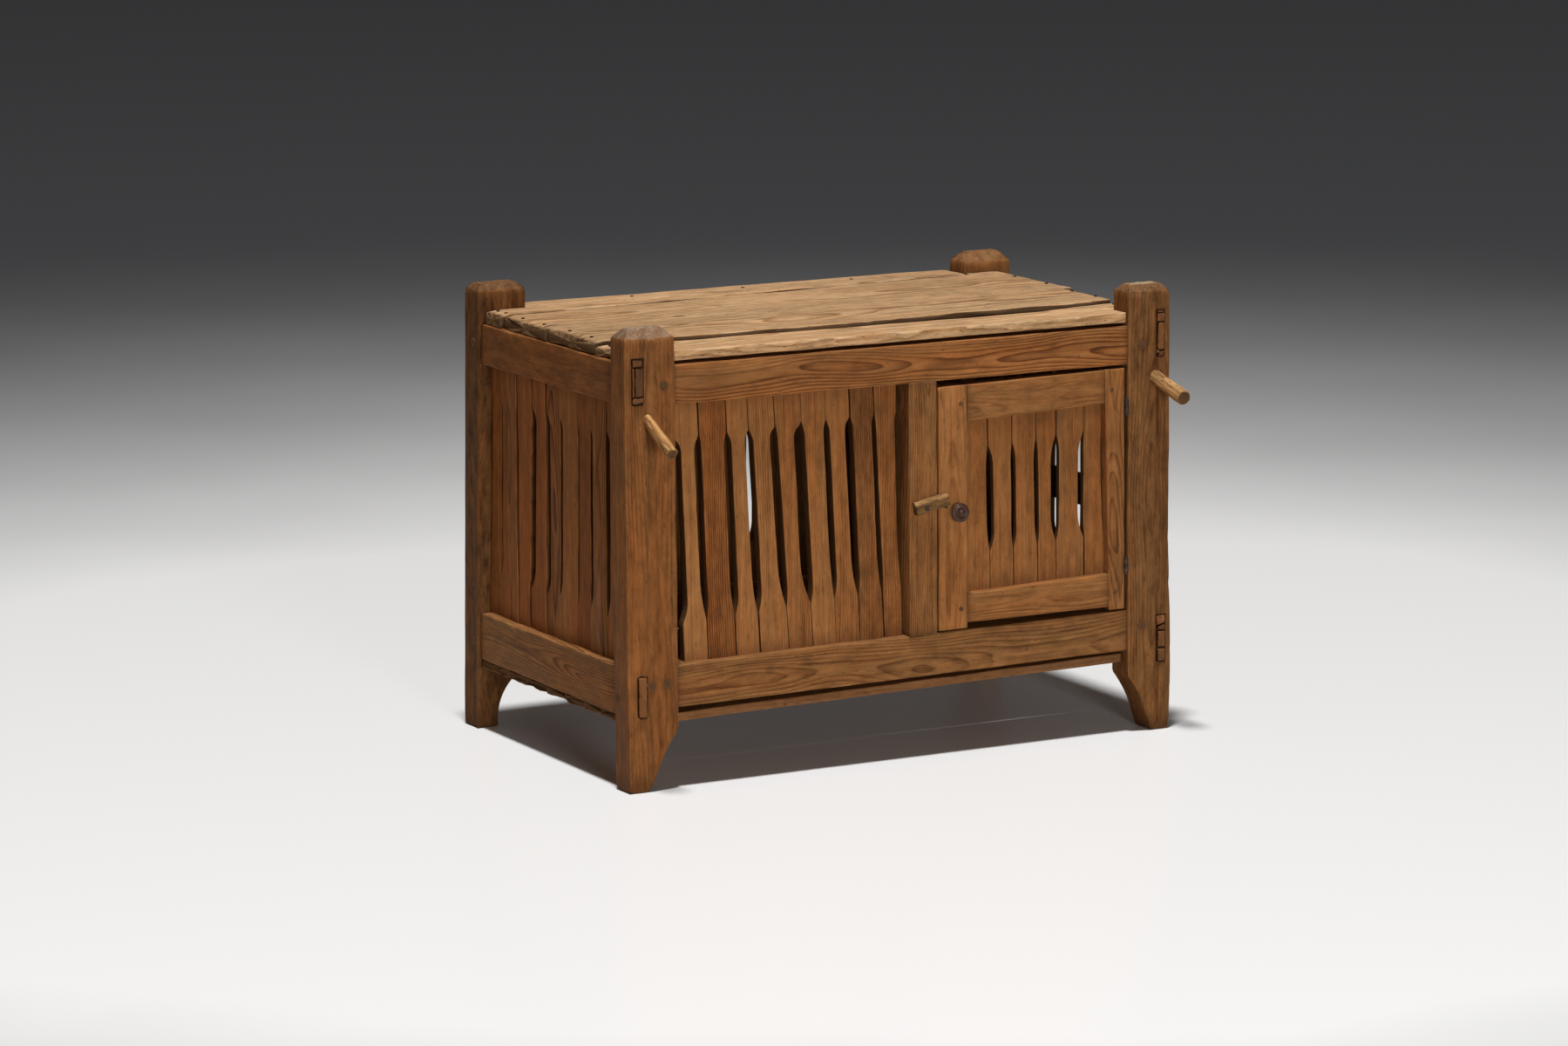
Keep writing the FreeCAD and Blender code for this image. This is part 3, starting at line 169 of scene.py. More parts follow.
def ripple(points, seed, span):
    """Smooth unevenness, about -1 to 1: the sum of sine waves over space, whose directions and
    phases come from the seed and whose wavelengths lie round the span."""
    rng = np.random.default_rng(seed)
    waves = rng.normal(size=(WAVES, 3))
    waves /= np.linalg.norm(waves, axis=1, keepdims=True)
    waves *= 2 * np.pi / (span * rng.uniform(0.6, 1.7, size=(WAVES, 1)))
    phases = rng.uniform(0, 2 * np.pi, WAVES)
    return np.sin(np.asarray(points) @ waves.T + phases).sum(axis=-1) / WAVE_SUM


def smooth(values, low, high):
    """Smooth step from 0 at low to 1 at high: 3 t squared minus 2 t cubed"""
    t = np.clip((np.asarray(values) - low) / (high - low), 0, 1)
    return t * t * (3 - 2 * t)


def bell(points, place, widths, flat=(X, Z)):
    """Bell curve round a place: exp of minus the squared distance from it in the two directions
    of flat, each measured in its own width in millimetres"""
    return np.exp(-sum(((points[..., axis] - place[axis]) / (width * MM)) ** 2
                       for axis, width in zip(flat, widths)))


def solids_of(node):
    """Corners of a CAD node and the triangles of each of its solids, in order along the longer of
    its sides in X and Y. Triangles share a solid where a chain of shared corners joins them."""
    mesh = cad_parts[node].data
    mesh.calc_loop_triangles()
    places = np.empty(len(mesh.vertices) * 3)
    mesh.vertices.foreach_get("co", places)
    triangles = np.empty(len(mesh.loop_triangles) * 3, int)
    mesh.loop_triangles.foreach_get("vertices", triangles)
    corners, index = np.unique(np.round(places.reshape(-1, 3), 6), axis=0, return_inverse=True)
    triangles = index.reshape(-1)[triangles].reshape(-1, 3)
    labels = None
    spread = np.arange(len(corners))
    while not np.array_equal(labels, spread):
        labels = spread
        spread = labels.copy()
        np.minimum.at(spread, triangles.ravel(), np.repeat(labels[triangles].min(axis=1), 3))
    of_triangle = labels[triangles[:, 0]]
    solids = [triangles[of_triangle == label] for label in np.unique(of_triangle)]
    spans = np.ptp(corners, axis=0).copy()
    spans[Z] = 0
    longest = int(np.argmax(spans))
    solids.sort(key=lambda solid: corners[solid.ravel(), longest].mean())
    return corners, solids


def limits_along(corners, triangles, axis, stations):
    """Lowest and highest corner of the cut through a solid at each station along an axis, from the
    points where the triangles' edges cross the plane of the station."""
    edges = np.concatenate([triangles[:, [0, 1]], triangles[:, [1, 2]], triangles[:, [2, 0]]])
    edges = np.unique(np.sort(edges, axis=1), axis=0)
    start, stop = corners[edges[:, 0]], corners[edges[:, 1]]
    run = stop[:, axis] - start[:, axis]
    keep = np.abs(run) > 1e-9
    start, stop, run = start[keep], stop[keep], run[keep]
    part = (stations[:, None] - start[:, axis]) / run
    points = start + part[..., None] * (stop - start)
    outside = ((part < 0) | (part > 1))[..., None]
    low = np.where(outside, np.inf, points).min(axis=1)
    high = np.where(outside, -np.inf, points).max(axis=1)
    return low, high


# How many steps an arris takes round its quarter circle
ARC_STEPS = 3


def rim_table(counts, arc_steps, gap, lines=None):
    """Points round a rectangle with rounded corners, as arrays: the share of the half sizes, the
    corner that the radius is pulled in from, the outward normal, a fixed step in from the corner,
    and how much of an arris the point is. Side 0 is the low side of the second direction; lines
    is the number of its inner points if it has its own, and counts the number on the others."""
    quarter = np.linspace(0, np.pi / 2, arc_steps + 1)[:, None]
    blocks = []
    for turn in range(4):
        along = np.array([(1, 0), (0, 1), (-1, 0), (0, -1)][turn])
        out = np.array([along[1], -along[0]])
        before = -along
        corner = before + out
        fixed = lines is not None and turn == 0
        inner = np.linspace(-1, 1, (lines if fixed else counts[turn % 2]) + 2)[1:-1, None]
        drawn = 0 * inner if fixed else along * inner
        one, many, arc = (np.ones((rows, 2)) for rows in (1, len(inner), len(quarter)))
        blocks += [
            (corner * arc, corner * arc, before * np.cos(quarter) + out * np.sin(quarter), 0 * arc,
             0.5 + 0.5 * np.sin(2 * quarter[:, 0])),
            (corner * one, corner * one, out * one, along * gap * one, np.array([0.15])),
            (along * inner + out, out * many + drawn, out * many, -gap * drawn * many,
             0 * inner[:, 0]),
            ((along + out) * one, (along + out) * one, out * one, -along * gap * one,
             np.array([0.15])),
        ]
    return [np.concatenate([block[part] for block in blocks]) for part in range(5)]


def end_inset(stations, low, high, rounds):
    """How far the section draws in beside each end: a quarter circle of the end's radius"""
    inset = np.zeros_like(stations)
    for distance, radius in ((stations - low, rounds[0]), (high - stations, rounds[1])):
        if radius:
            fall = np.clip(radius - distance, 0, radius)
            inset += radius - np.sqrt(np.maximum(radius ** 2 - fall ** 2, 0))
    return inset


def ring_places(low, high, rounds, buries, step, extra=()):
    """Stations along a bar: close together round each end, then a step apart"""
    turn = 1 - np.cos(np.radians([0, 30, 60, 90]))
    places = [low + rounds[0] * turn, high - rounds[1] * turn,
              np.linspace(low + rounds[0], high - rounds[1],
                          max(2, int((high - low) / step))), np.asarray(extra, float)]
    if buries[0]:
        places.append([low - buries[0]])
    if buries[1]:
        places.append([high + buries[1]])
    places = np.unique(np.round(np.concatenate(places), 6))
    return places[(places >= low - buries[0] - 1e-9) & (places <= high + buries[1] + 1e-9)]


# How far the rings on an end shrink towards its middle
CAP_SHARES = (0.93, 0.84, 0.72, 0.58, 0.42, 0.25, 0.10)


def closed_tube(points):
    """Vertices and faces of a grid of rings, first index along and second round, closed at each
    end by rings that shrink to the middle of the end ring."""
    rings, around = points.shape[:2]
    caps, middles = [], []
    for ring in (points[0], points[-1]):
        middle = ring.mean(axis=0)
        middles.append(middle[None])
        caps.append([middle + (ring - middle) * part for part in CAP_SHARES])
    stack = np.concatenate(caps[0][::-1] + [points.reshape(-1, 3)] + caps[1] + middles)
    rows = rings + 2 * len(CAP_SHARES)
    index = np.arange(rows * around).reshape(rows, around)
    after = np.roll(index, -1, axis=1)
    quads = np.stack([index[:-1], index[1:], after[1:], after[:-1]], axis=-1).reshape(-1, 4)
    first = np.stack([index[0], after[0], np.full(around, rows * around)], axis=-1)
    last = np.stack([after[-1], index[-1], np.full(around, rows * around + 1)], axis=-1)
    return stack, quads, np.concatenate([first, last])


def spread_to_caps(values):
    """Values on the rings, carried over the caps that closed_tube adds"""
    head, tail, caps = values[0], values[-1], len(CAP_SHARES)
    return np.concatenate([head] * caps + [values.reshape((-1,) + values.shape[2:])]
                          + [tail] * caps + [head.mean(axis=0)[None], tail.mean(axis=0)[None]])


def facing_out(points, quads, triangles):
    """The faces, turned over if the volume inside them comes out negative"""
    whole = np.concatenate([quads[:, [0, 1, 2]], quads[:, [0, 2, 3]], triangles])
    a, b, c = (points[whole[:, k]] for k in range(3))
    if np.einsum("ij,ij->", a, np.cross(b, c)) < 0:
        return quads[:, ::-1], triangles[:, ::-1]
    return quads, triangles


# Wavelengths of an arris, of the bites in it and of the hollows of a face, and how far the dirt
# beside a joint reaches
ARRIS_WAVE, BITE_WAVE, HOLLOW_WAVE, DIRT_REACH = 0.11, 0.045, 0.05, 7 * MM

# How far inside its ends a solid is cut to find its section there
CUT_INSIDE = 0.2 * MM

# Least radius of an arris, and room between an arris and the first grid line beside it, on a plain
# face and on one with its own lines
LEAST_ARRIS, PLAIN_GAP, LINED_GAP = 0.3 * MM, 2.5 * MM, 1.0 * MM


def bar_on(corners, solid, axis, wide, deep, span, seed, arris, uneven, rounds, buries, step,
           counts=(3, 1), lines=None, extra=(), reshape=None, pith=None, end_cut=None):
    """One worn bar over a CAD solid. At each station along the axis the section is a rectangle
    between the solid's limits there, with corners rounded by the arris radius, which itself
    wanders and now and then bites deeper. The faces sink by a smooth ripple, and the ends draw in.
    Rounds and buries hold the radius of each end and how far each runs on inside its neighbour.
    Counts are the inner points across the two kinds of side. Lines hold the places of side 0's
    own inner points and the range along the axis in which they keep them, and extra holds further
    stations. Reshape moves points and raises the wear, and end_cut moves the caps. Pith is where
    the rings' middle lies across the bar. Returns vertices, quads, triangles, grain and wear."""
    low, high = span
    stations = ring_places(low, high, rounds, buries, step, extra)
    lows, highs = limits_along(corners, solid, axis,
                               np.clip(stations, low + CUT_INSIDE, high - CUT_INSIDE))
    across = [wide, deep]
    centre = ((lows + highs) / 2)[:, None, across]
    inset = end_inset(stations, low, high, rounds)[:, None, None]
    half = ((highs - lows) / 2)[:, None, across] - inset
    gap = min(PLAIN_GAP if lines is None else LINED_GAP, half.min() / 3)
    share_of, pull, normal, step_in, arris_of = rim_table(counts, ARC_STEPS, gap,
                                                          lines and len(lines[0]))
    share_of = np.tile(share_of, (len(stations), 1, 1))
    if lines is not None:
        places, bottom, top = lines
        lows, highs = limits_along(corners, solid, axis, np.clip(stations, bottom, top))
        share_of[:, ARC_STEPS + 2:ARC_STEPS + 2 + len(places), 0] = (
            (2 * places - (lows + highs)[:, [wide]]) / (highs - lows)[:, [wide]])
    rough = np.empty((len(stations), len(normal), 3))
    rough[..., axis] = stations[:, None]
    rough[..., across] = centre + share_of * half
    radius = arris * (1 + 0.45 * ripple(rough, seed, ARRIS_WAVE))
    radius += 1.2 * arris * np.clip(ripple(rough, seed + 1, BITE_WAVE) - 0.85, 0, 1)
    radius = np.clip(radius, LEAST_ARRIS, 0.7 * half.min())
    points = rough.copy()
    points[..., across] += radius[..., None] * (normal - pull) + step_in
    stretched = rough.copy()
    stretched[..., axis] *= 0.35
    hollow = uneven * (0.5 + 0.5 * ripple(stretched, seed + 2, HOLLOW_WAVE))
    points[..., across] -= np.clip(hollow, 0, 2 * uneven)[..., None] * normal
    wear = np.zeros_like(points)
    wear[..., ARRIS_AND_HIGHLIGHT] = arris_of
    buried = [np.exp(-np.clip(distance, 0, None) / DIRT_REACH) if bury else 0 * stations
              for distance, bury in ((stations - low, buries[0]), (high - stations, buries[1]))]
    wear[..., DIRT_AND_SHADE] = np.clip(sum(buried), 0, 1)[:, None]
    if reshape is not None:
        reshape(points, normal, wear)
    vertices, quads, triangles = closed_tube(points)
    wear = spread_to_caps(wear)
    capped = len(CAP_SHARES) * points.shape[1]
    on_cap = np.zeros(len(vertices), bool)
    on_cap[:capped] = on_cap[-capped - 2:] = True
    wear[on_cap, END] = 1
    if end_cut is not None:
        end_cut(vertices, on_cap)
    quads, triangles = facing_out(vertices, quads, triangles)
    rng = np.random.default_rng(seed + 3)
    start = (low + high) / 2 + rng.uniform(-3, 3)
    if pith is None:
        pith = (rng.uniform(-0.02, 0.02), rng.uniform(0.03, 0.07))
    grain = vertices[:, [axis, wide, deep]]
    grain = grain - np.array([start, *grain[:, 1:].mean(axis=0)]) + np.array([0, *pith])
    return vertices, quads, triangles, grain, wear


def soft_outline(corners, radius, around):
    """Closed outline with rounded corners: the quadratic curve between the points a radius along
    a corner's two edges stands for the corner, and the whole is divided into even steps."""
    corners = np.asarray(corners, float)
    ends = []
    for neighbour in (np.roll(corners, 1, axis=0), np.roll(corners, -1, axis=0)):
        run = neighbour - corners
        size = np.linalg.norm(run, axis=1, keepdims=True)
        ends.append(corners + run / size * np.minimum(radius, 0.45 * size))
    t = np.linspace(0, 1, 6)[None, :, None]
    curve = ((1 - t) ** 2 * ends[0][:, None] + 2 * t * (1 - t) * corners[:, None]
             + t ** 2 * ends[1][:, None]).reshape(-1, 2)
    curve = np.concatenate([curve, curve[:1]])
    run = np.concatenate([[0], np.cumsum(np.linalg.norm(np.diff(curve, axis=0), axis=1))])
    places = np.linspace(0, run[-1], around, endpoint=False)
    return np.stack([np.interp(places, run, curve[:, k]) for k in (0, 1)], axis=1)


def closed_part(points, grain, arris=0.0, ends=(1.0, 1.0), grime_and_shade=0.0):
    """Closed surface over a grid of rings, with the grain place of each vertex, as bar_on returns
    it. Arris, which the latch also uses for a painted highlight, and the darkening hold one value
    or one for each point, ends how far a cap is end grain."""
    vertices, quads, triangles = closed_tube(points)
    wear = np.zeros_like(points)
    wear[..., ARRIS_AND_HIGHLIGHT], wear[..., DIRT_AND_SHADE] = arris, grime_and_shade
    wear = spread_to_caps(wear)
    capped = len(CAP_SHARES) * points.shape[1]
    wear[:capped, END] = wear[-2, END] = ends[0]
    wear[-capped - 2:-2, END] = wear[-1, END] = ends[1]
    quads, triangles = facing_out(vertices, quads, triangles)
    return vertices, quads, triangles, spread_to_caps(grain), wear


def along_axis(spots):
    """Middle, outward direction and two directions across of a turned solid, and the place along
    the axis and the distance from it of each of its corners. The axis is the direction in which
    the corners spread most, and it points away from the middle of the chest."""
    middle = (spots.min(axis=0) + spots.max(axis=0)) / 2
    axis = np.linalg.eigh(np.cov((spots - spots.mean(axis=0)).T))[1][:, 2]
    chest = (np.array(CAD_BOX[0]) + np.array(CAD_BOX[1])) / 2
    if np.dot(axis, middle - chest) < 0:
        axis = -axis
    side = np.cross(axis, [0.1, 0.2, 1.0])
    side /= np.linalg.norm(side)
    above = np.cross(side, axis)
    places = (spots - middle) @ axis
    away = np.linalg.norm(spots - middle - places[:, None] * axis, axis=1)
    return middle, axis, side, above, places, away


def rings_round(middle, axis, side, above, stations, radius, angle, seed, pith):
    """Rings about an axis, one at each station, and the grain place of each of their points"""
    across, upwards = np.cos(angle), np.sin(angle)
    rings = (middle + stations[:, None, None] * axis
             + radius[..., None] * (across[:, None] * side + upwards[:, None] * above))
    grain = np.stack([stations[:, None] + 0 * radius + seed, radius * across + pith[0],
                      radius * upwards + pith[1]], axis=-1)
    return rings, grain


def plug(spots, seed, around=28):
    """Dowel end: rings about the axis whose radius is 1.12 times the dowel's, as its hole has
    worn, times 1 plus three small cosines of the angle, drawn in at the proud end to a dome."""
    middle, axis, side, above, places, away = along_axis(spots)
    rng = np.random.default_rng(seed)
    phase = rng.uniform(0, 2 * np.pi, 3)
    angle = np.linspace(0, 2 * np.pi, around, endpoint=False)
    swell = 1 + 0.08 * np.cos(2 * angle + phase[0]) + 0.05 * np.cos(3 * angle + phase[1])
    swell += 0.03 * np.cos(5 * angle + phase[2])
    head = places.max()
    stations = np.array([places.min(), head - 2 * MM, head - 0.7 * MM, head - 0.3 * MM,
                         head - 0.08 * MM, head])
    draw = np.array([0.95, 1.0, 1.0, 0.97, 0.90, 0.78])
    radius = 1.12 * away.max() * draw[:, None] * swell
    rings, grain = rings_round(middle, axis, side, above, stations, radius, angle, seed, (0, 0.006))
    grime_and_shade = np.array([1.8, 1.8, 1.6, 1.3, 0.8, 0.1])[:, None] * (0.75 + 0.25 * np.sin(angle))
    return closed_part(rings, grain, grime_and_shade=grime_and_shade)


def whittled(spots, seed, cuts=9, around=54):
    """Peg whittled with a knife: the section is what is left inside flat cuts. The distance of a
    cut from the axis wanders along the peg, and the radius at an angle is the soft minimum, by
    powers of 14, of distance over the cosine of the angle from the cut. The tip is bevelled and
    dirty, and the ridges between the cuts are rubbed."""
    middle, axis, side, above, places, away = along_axis(spots)
    rng = np.random.default_rng(seed)
    root = away[places < places.min() + 5 * MM].max()
    tip = away[places > places.max() - 5 * MM].max()
    low, high = places.min(), places.max()
    stations = np.concatenate([np.linspace(low, high - 4 * MM, 52),
                               high - np.array([2.6, 1.4, 0.6, 0.15, 0]) * MM])
    share_along = (stations - low) / (high - low)
    angle = np.linspace(0, 2 * np.pi, around, endpoint=False)
    towards = (np.arange(cuts) + rng.uniform(-0.28, 0.28, cuts)) * 2 * np.pi / cuts
    wave = rng.uniform(1.2, 3.4, cuts) * 2 * np.pi
    phase = rng.uniform(0, 2 * np.pi, cuts)
    depth = (root + (tip - root) * share_along)[:, None] * (
        0.955 + 0.035 * np.sin(share_along[:, None] * wave + phase))
    bevel = np.interp(high - stations, np.array([0, 0.15, 0.6, 1.4, 2.6]) * MM,
                      np.array([2.4, 1.8, 1.1, 0.5, 0.0]) * MM)
    depth -= bevel[:, None]
    leaning = np.maximum(np.cos(angle[:, None] - towards), 0.08)
    reach = depth[:, None, :] / leaning
    radius = (reach ** -14.0).sum(axis=-1) ** (-1 / 14.0)
    ridge = radius / radius.mean(axis=1, keepdims=True)
    rings, grain = rings_round(middle, axis, side, above, stations, radius, angle, seed,
                               (0.004, 0.007))
    rings += (0.125 * MM * ripple(rings, seed + 1, 0.009))[..., None] * axis
    tip_dirt = 1.2 * smooth(stations, high - 2.5 * MM, high)[:, None]
    return closed_part(rings, grain, arris=smooth(ridge, 1.0, 1.035), ends=(0.0, 1.0),
                       grime_and_shade=tip_dirt)


# Corner radius of a wedge, its gap all round and how far behind the post's front it ends, in
# millimetres, and the points of its outline
BLOCK_CORNER, BLOCK_GAP, BLOCK_BACK, BLOCK_AROUND = 1.1, 1.0, 9.0, 48


def block(outline, front, seed, dirt, end):
    """Wedge or tenon end in a mortise: its outline on the front of the post, less a gap all
    round, carried inwards and drawn in at the front edge, with an uneven face."""
    ring = soft_outline(outline, BLOCK_CORNER, BLOCK_AROUND) * MM
    middle = (ring.min(axis=0) + ring.max(axis=0)) / 2
    ring = middle + (ring - middle) * (1 - 2 * BLOCK_GAP * MM / np.ptp(ring, axis=0))
    reach = np.linalg.norm(ring - middle, axis=1).mean()
    stations = np.array([BLOCK_BACK, front + 1.2, front + 0.45, front + 0.12, front]) * MM
    inset = 1 - np.array([0, 0, 0.12, 0.38, 0.8]) * MM / reach
    flat = middle + inset[:, None, None] * (ring - middle)
    rings = np.empty(flat.shape[:2] + (3,))
    rings[..., X] = flat[..., 0] + CORNER[X]
    rings[..., Y] = stations[:, None] + CORNER[Y]
    rings[..., Z] = flat[..., 1] + CORNER[Z]
    wobble = 0.35 * MM * ripple(rings, seed, 0.012)
    rings[..., X] += wobble * (flat[..., 0] > middle[0]) - wobble * (flat[..., 0] < middle[0])
    near = (stations < (front + 1) * MM)[:, None]
    rings[..., Y] += 0.5 * MM * ripple(rings, seed + 1, 0.010) * near
    grain = np.stack([rings[..., Y] + seed, rings[..., X] - CORNER[X] - middle[0] + 0.004,
                      rings[..., Z] - CORNER[Z] - middle[1] + 0.02], axis=-1)
    return closed_part(rings, grain, ends=(0.0, end), grime_and_shade=dirt)


def placed(name, data):
    """New object in the scene"""
    item = bpy.data.objects.new(name, data)
    bpy.context.scene.collection.objects.link(item)
    return item


def whole_piece(name, parts, finish, material, body, nodes):
    """One object from one or more surfaces, with its grain, wear and finish attributes. It rides
    on a body and replaces its CAD nodes. Finish holds tone, warmth and figure for each surface."""
    offset, faces, rows = 0, [], []
    for (points, quads, triangles, grain, wear), look in zip(parts, finish):
        faces += (quads + offset).tolist() + (triangles + offset).tolist()
        offset += len(points)
        rows.append((points, grain, wear, np.tile(np.array(look, float), (len(points), 1))))
    vertices, *layers = (np.concatenate(column) for column in zip(*rows))
    mesh = bpy.data.meshes.new(name)
    mesh.from_pydata(vertices, [], faces)
    for label, values in zip(("grain", "wear", "finish"), layers):
        layer = mesh.attributes.new(label, "FLOAT_VECTOR", "POINT")
        layer.data.foreach_set("vector", values.astype(np.float32).ravel())
    mesh.polygons.foreach_set("use_smooth", np.ones(len(mesh.polygons), bool))
    mesh.materials.append(material)
    mesh.update()
    piece = placed(name, mesh)
    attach(piece, body)
    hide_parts(*nodes)


# Materials


class Graph:
    """Short hand for a node tree: each call adds a node, sets it and joins its inputs"""

    def __init__(self, tree):
        self.tree = tree

    def put(self, node, inputs):
        for key, value in inputs.items():
            if isinstance(value, bpy.types.NodeSocket):
                self.tree.links.new(value, node.inputs[key])
            else:
                node.inputs[key].default_value = value

    def add(self, kind, inputs=None, **settings):
        node = self.tree.nodes.new(kind)
        for key, value in settings.items():
            setattr(node, key, value)
        self.put(node, inputs or {})
        return node

    def math(self, operation, *values, clamp=False):
        node = self.add("ShaderNodeMath", dict(enumerate(values)), operation=operation)
        node.use_clamp = clamp
        return node.outputs[0]

    def plus(self, first, second, clamp=False):
        return self.math("ADD", first, second, clamp=clamp)

    def minus(self, first, second):
        return self.math("SUBTRACT", first, second)

    def times(self, first, second):
        return self.math("MULTIPLY", first, second)

    def larger(self, first, second):
        return self.math("MAXIMUM", first, second)

    def swing(self, value, amount):
        """A value from 0 to 1, made to swing about nought and scaled"""
        return self.times(self.minus(value, 0.5), amount)

    def vector(self, operation, *values):
        return self.add("ShaderNodeVectorMath", dict(enumerate(values)), operation=operation)

    def scaled(self, vector, factors):
        return self.vector("MULTIPLY", vector, factors).outputs[0]

    def noise(self, vector, factors, detail=2.0, roughness=0.5, output="Fac"):
        node = self.add("ShaderNodeTexNoise", {"Vector": self.scaled(vector, factors), "Scale": 1.0,
                                               "Detail": detail, "Roughness": roughness})
        return node.outputs[output]

    def ranged(self, value, low, high, to_low=0.0, to_high=1.0, kind="SMOOTHSTEP"):
        node = self.add("ShaderNodeMapRange", {"Value": value, "From Min": low, "From Max": high,
                                               "To Min": to_low, "To Max": to_high},
                        interpolation_type=kind)
        return node.outputs[0]

    def blend(self, factor, first, second, kind="MIX"):
        node = self.add("ShaderNodeMix", {0: factor, 6: first, 7: second}, data_type="RGBA",
                        blend_type=kind)
        return node.outputs[2]

    def attribute(self, name):
        return self.add("ShaderNodeAttribute", attribute_name=name).outputs["Vector"]

    def split(self, vector):
        return self.add("ShaderNodeSeparateXYZ", {0: vector}).outputs

    def seen(self):
        """1 for rays that come straight, through glass or off a gloss from the camera"""
        path = self.add("ShaderNodeLightPath").outputs
        return self.larger(self.larger(path["Is Camera Ray"], path["Is Transmission Ray"]),
                           path["Is Glossy Ray"])


def opaque(value):
    return tuple(value) + (1.0,)


# What the shared wood takes in and puts out
WOOD_PAINTS = ("Pale", "Dark", "Stain", "Bare", "End")
WOOD_AMOUNTS = {"Spacing": 0.0042, "Ring Strength": 0.75, "Stain Amount": 0.24, "Rub Amount": 0.35,
                "Crack Amount": 0.2, "Knot Amount": 0.10, "Wander": 0.05, "Hue Amount": 1.0}
WOOD_RESULTS = {"Color": "NodeSocketColor", "Roughness": "NodeSocketFloat",
                "Height": "NodeSocketFloat"}


# Noises of the shared wood: waves in a metre along and across the grain, detail and roughness
NOISES = {
    "wobble": ((9.0, 60.0, 60.0), 2.0, 0.5),
    "drift": ((0.6, 16.0, 16.0), 1.0, 0.5),
    "clear": ((1.3, 7.0, 7.0), 2.0, 0.5),
    "fibre": ((9.0, 420.0, 420.0), 3.0, 0.62),
    "strands": ((5.0, 190.0, 190.0), 3.0, 0.6),
    "broad": ((3.0, 85.0, 85.0), 3.0, 0.55),
    "bands": ((0.9, 30.0, 30.0), 2.0, 0.5),
    "mottle": ((26.0, 75.0, 75.0), 5.0, 0.70),
    "slow": ((3.0, 9.0, 9.0), 3.0, 0.6),
    "hue": ((2.4, 42.0, 42.0), 3.0, 0.6),
    "rubbing": ((22.0, 60.0, 60.0), 4.0, 0.5),
    "blotch": ((7.0, 24.0, 24.0), 6.0, 0.62),
    "speck": ((70.0, 260.0, 260.0), 2.0, 0.5),
    "crack": ((1.6, 34.0, 34.0), 2.0, 0.4),
    "crack_gap": ((7.0, 18.0, 18.0), 1.0, 0.5),
    "dents": ((28.0, 70.0, 70.0), 3.0, 0.5),
}


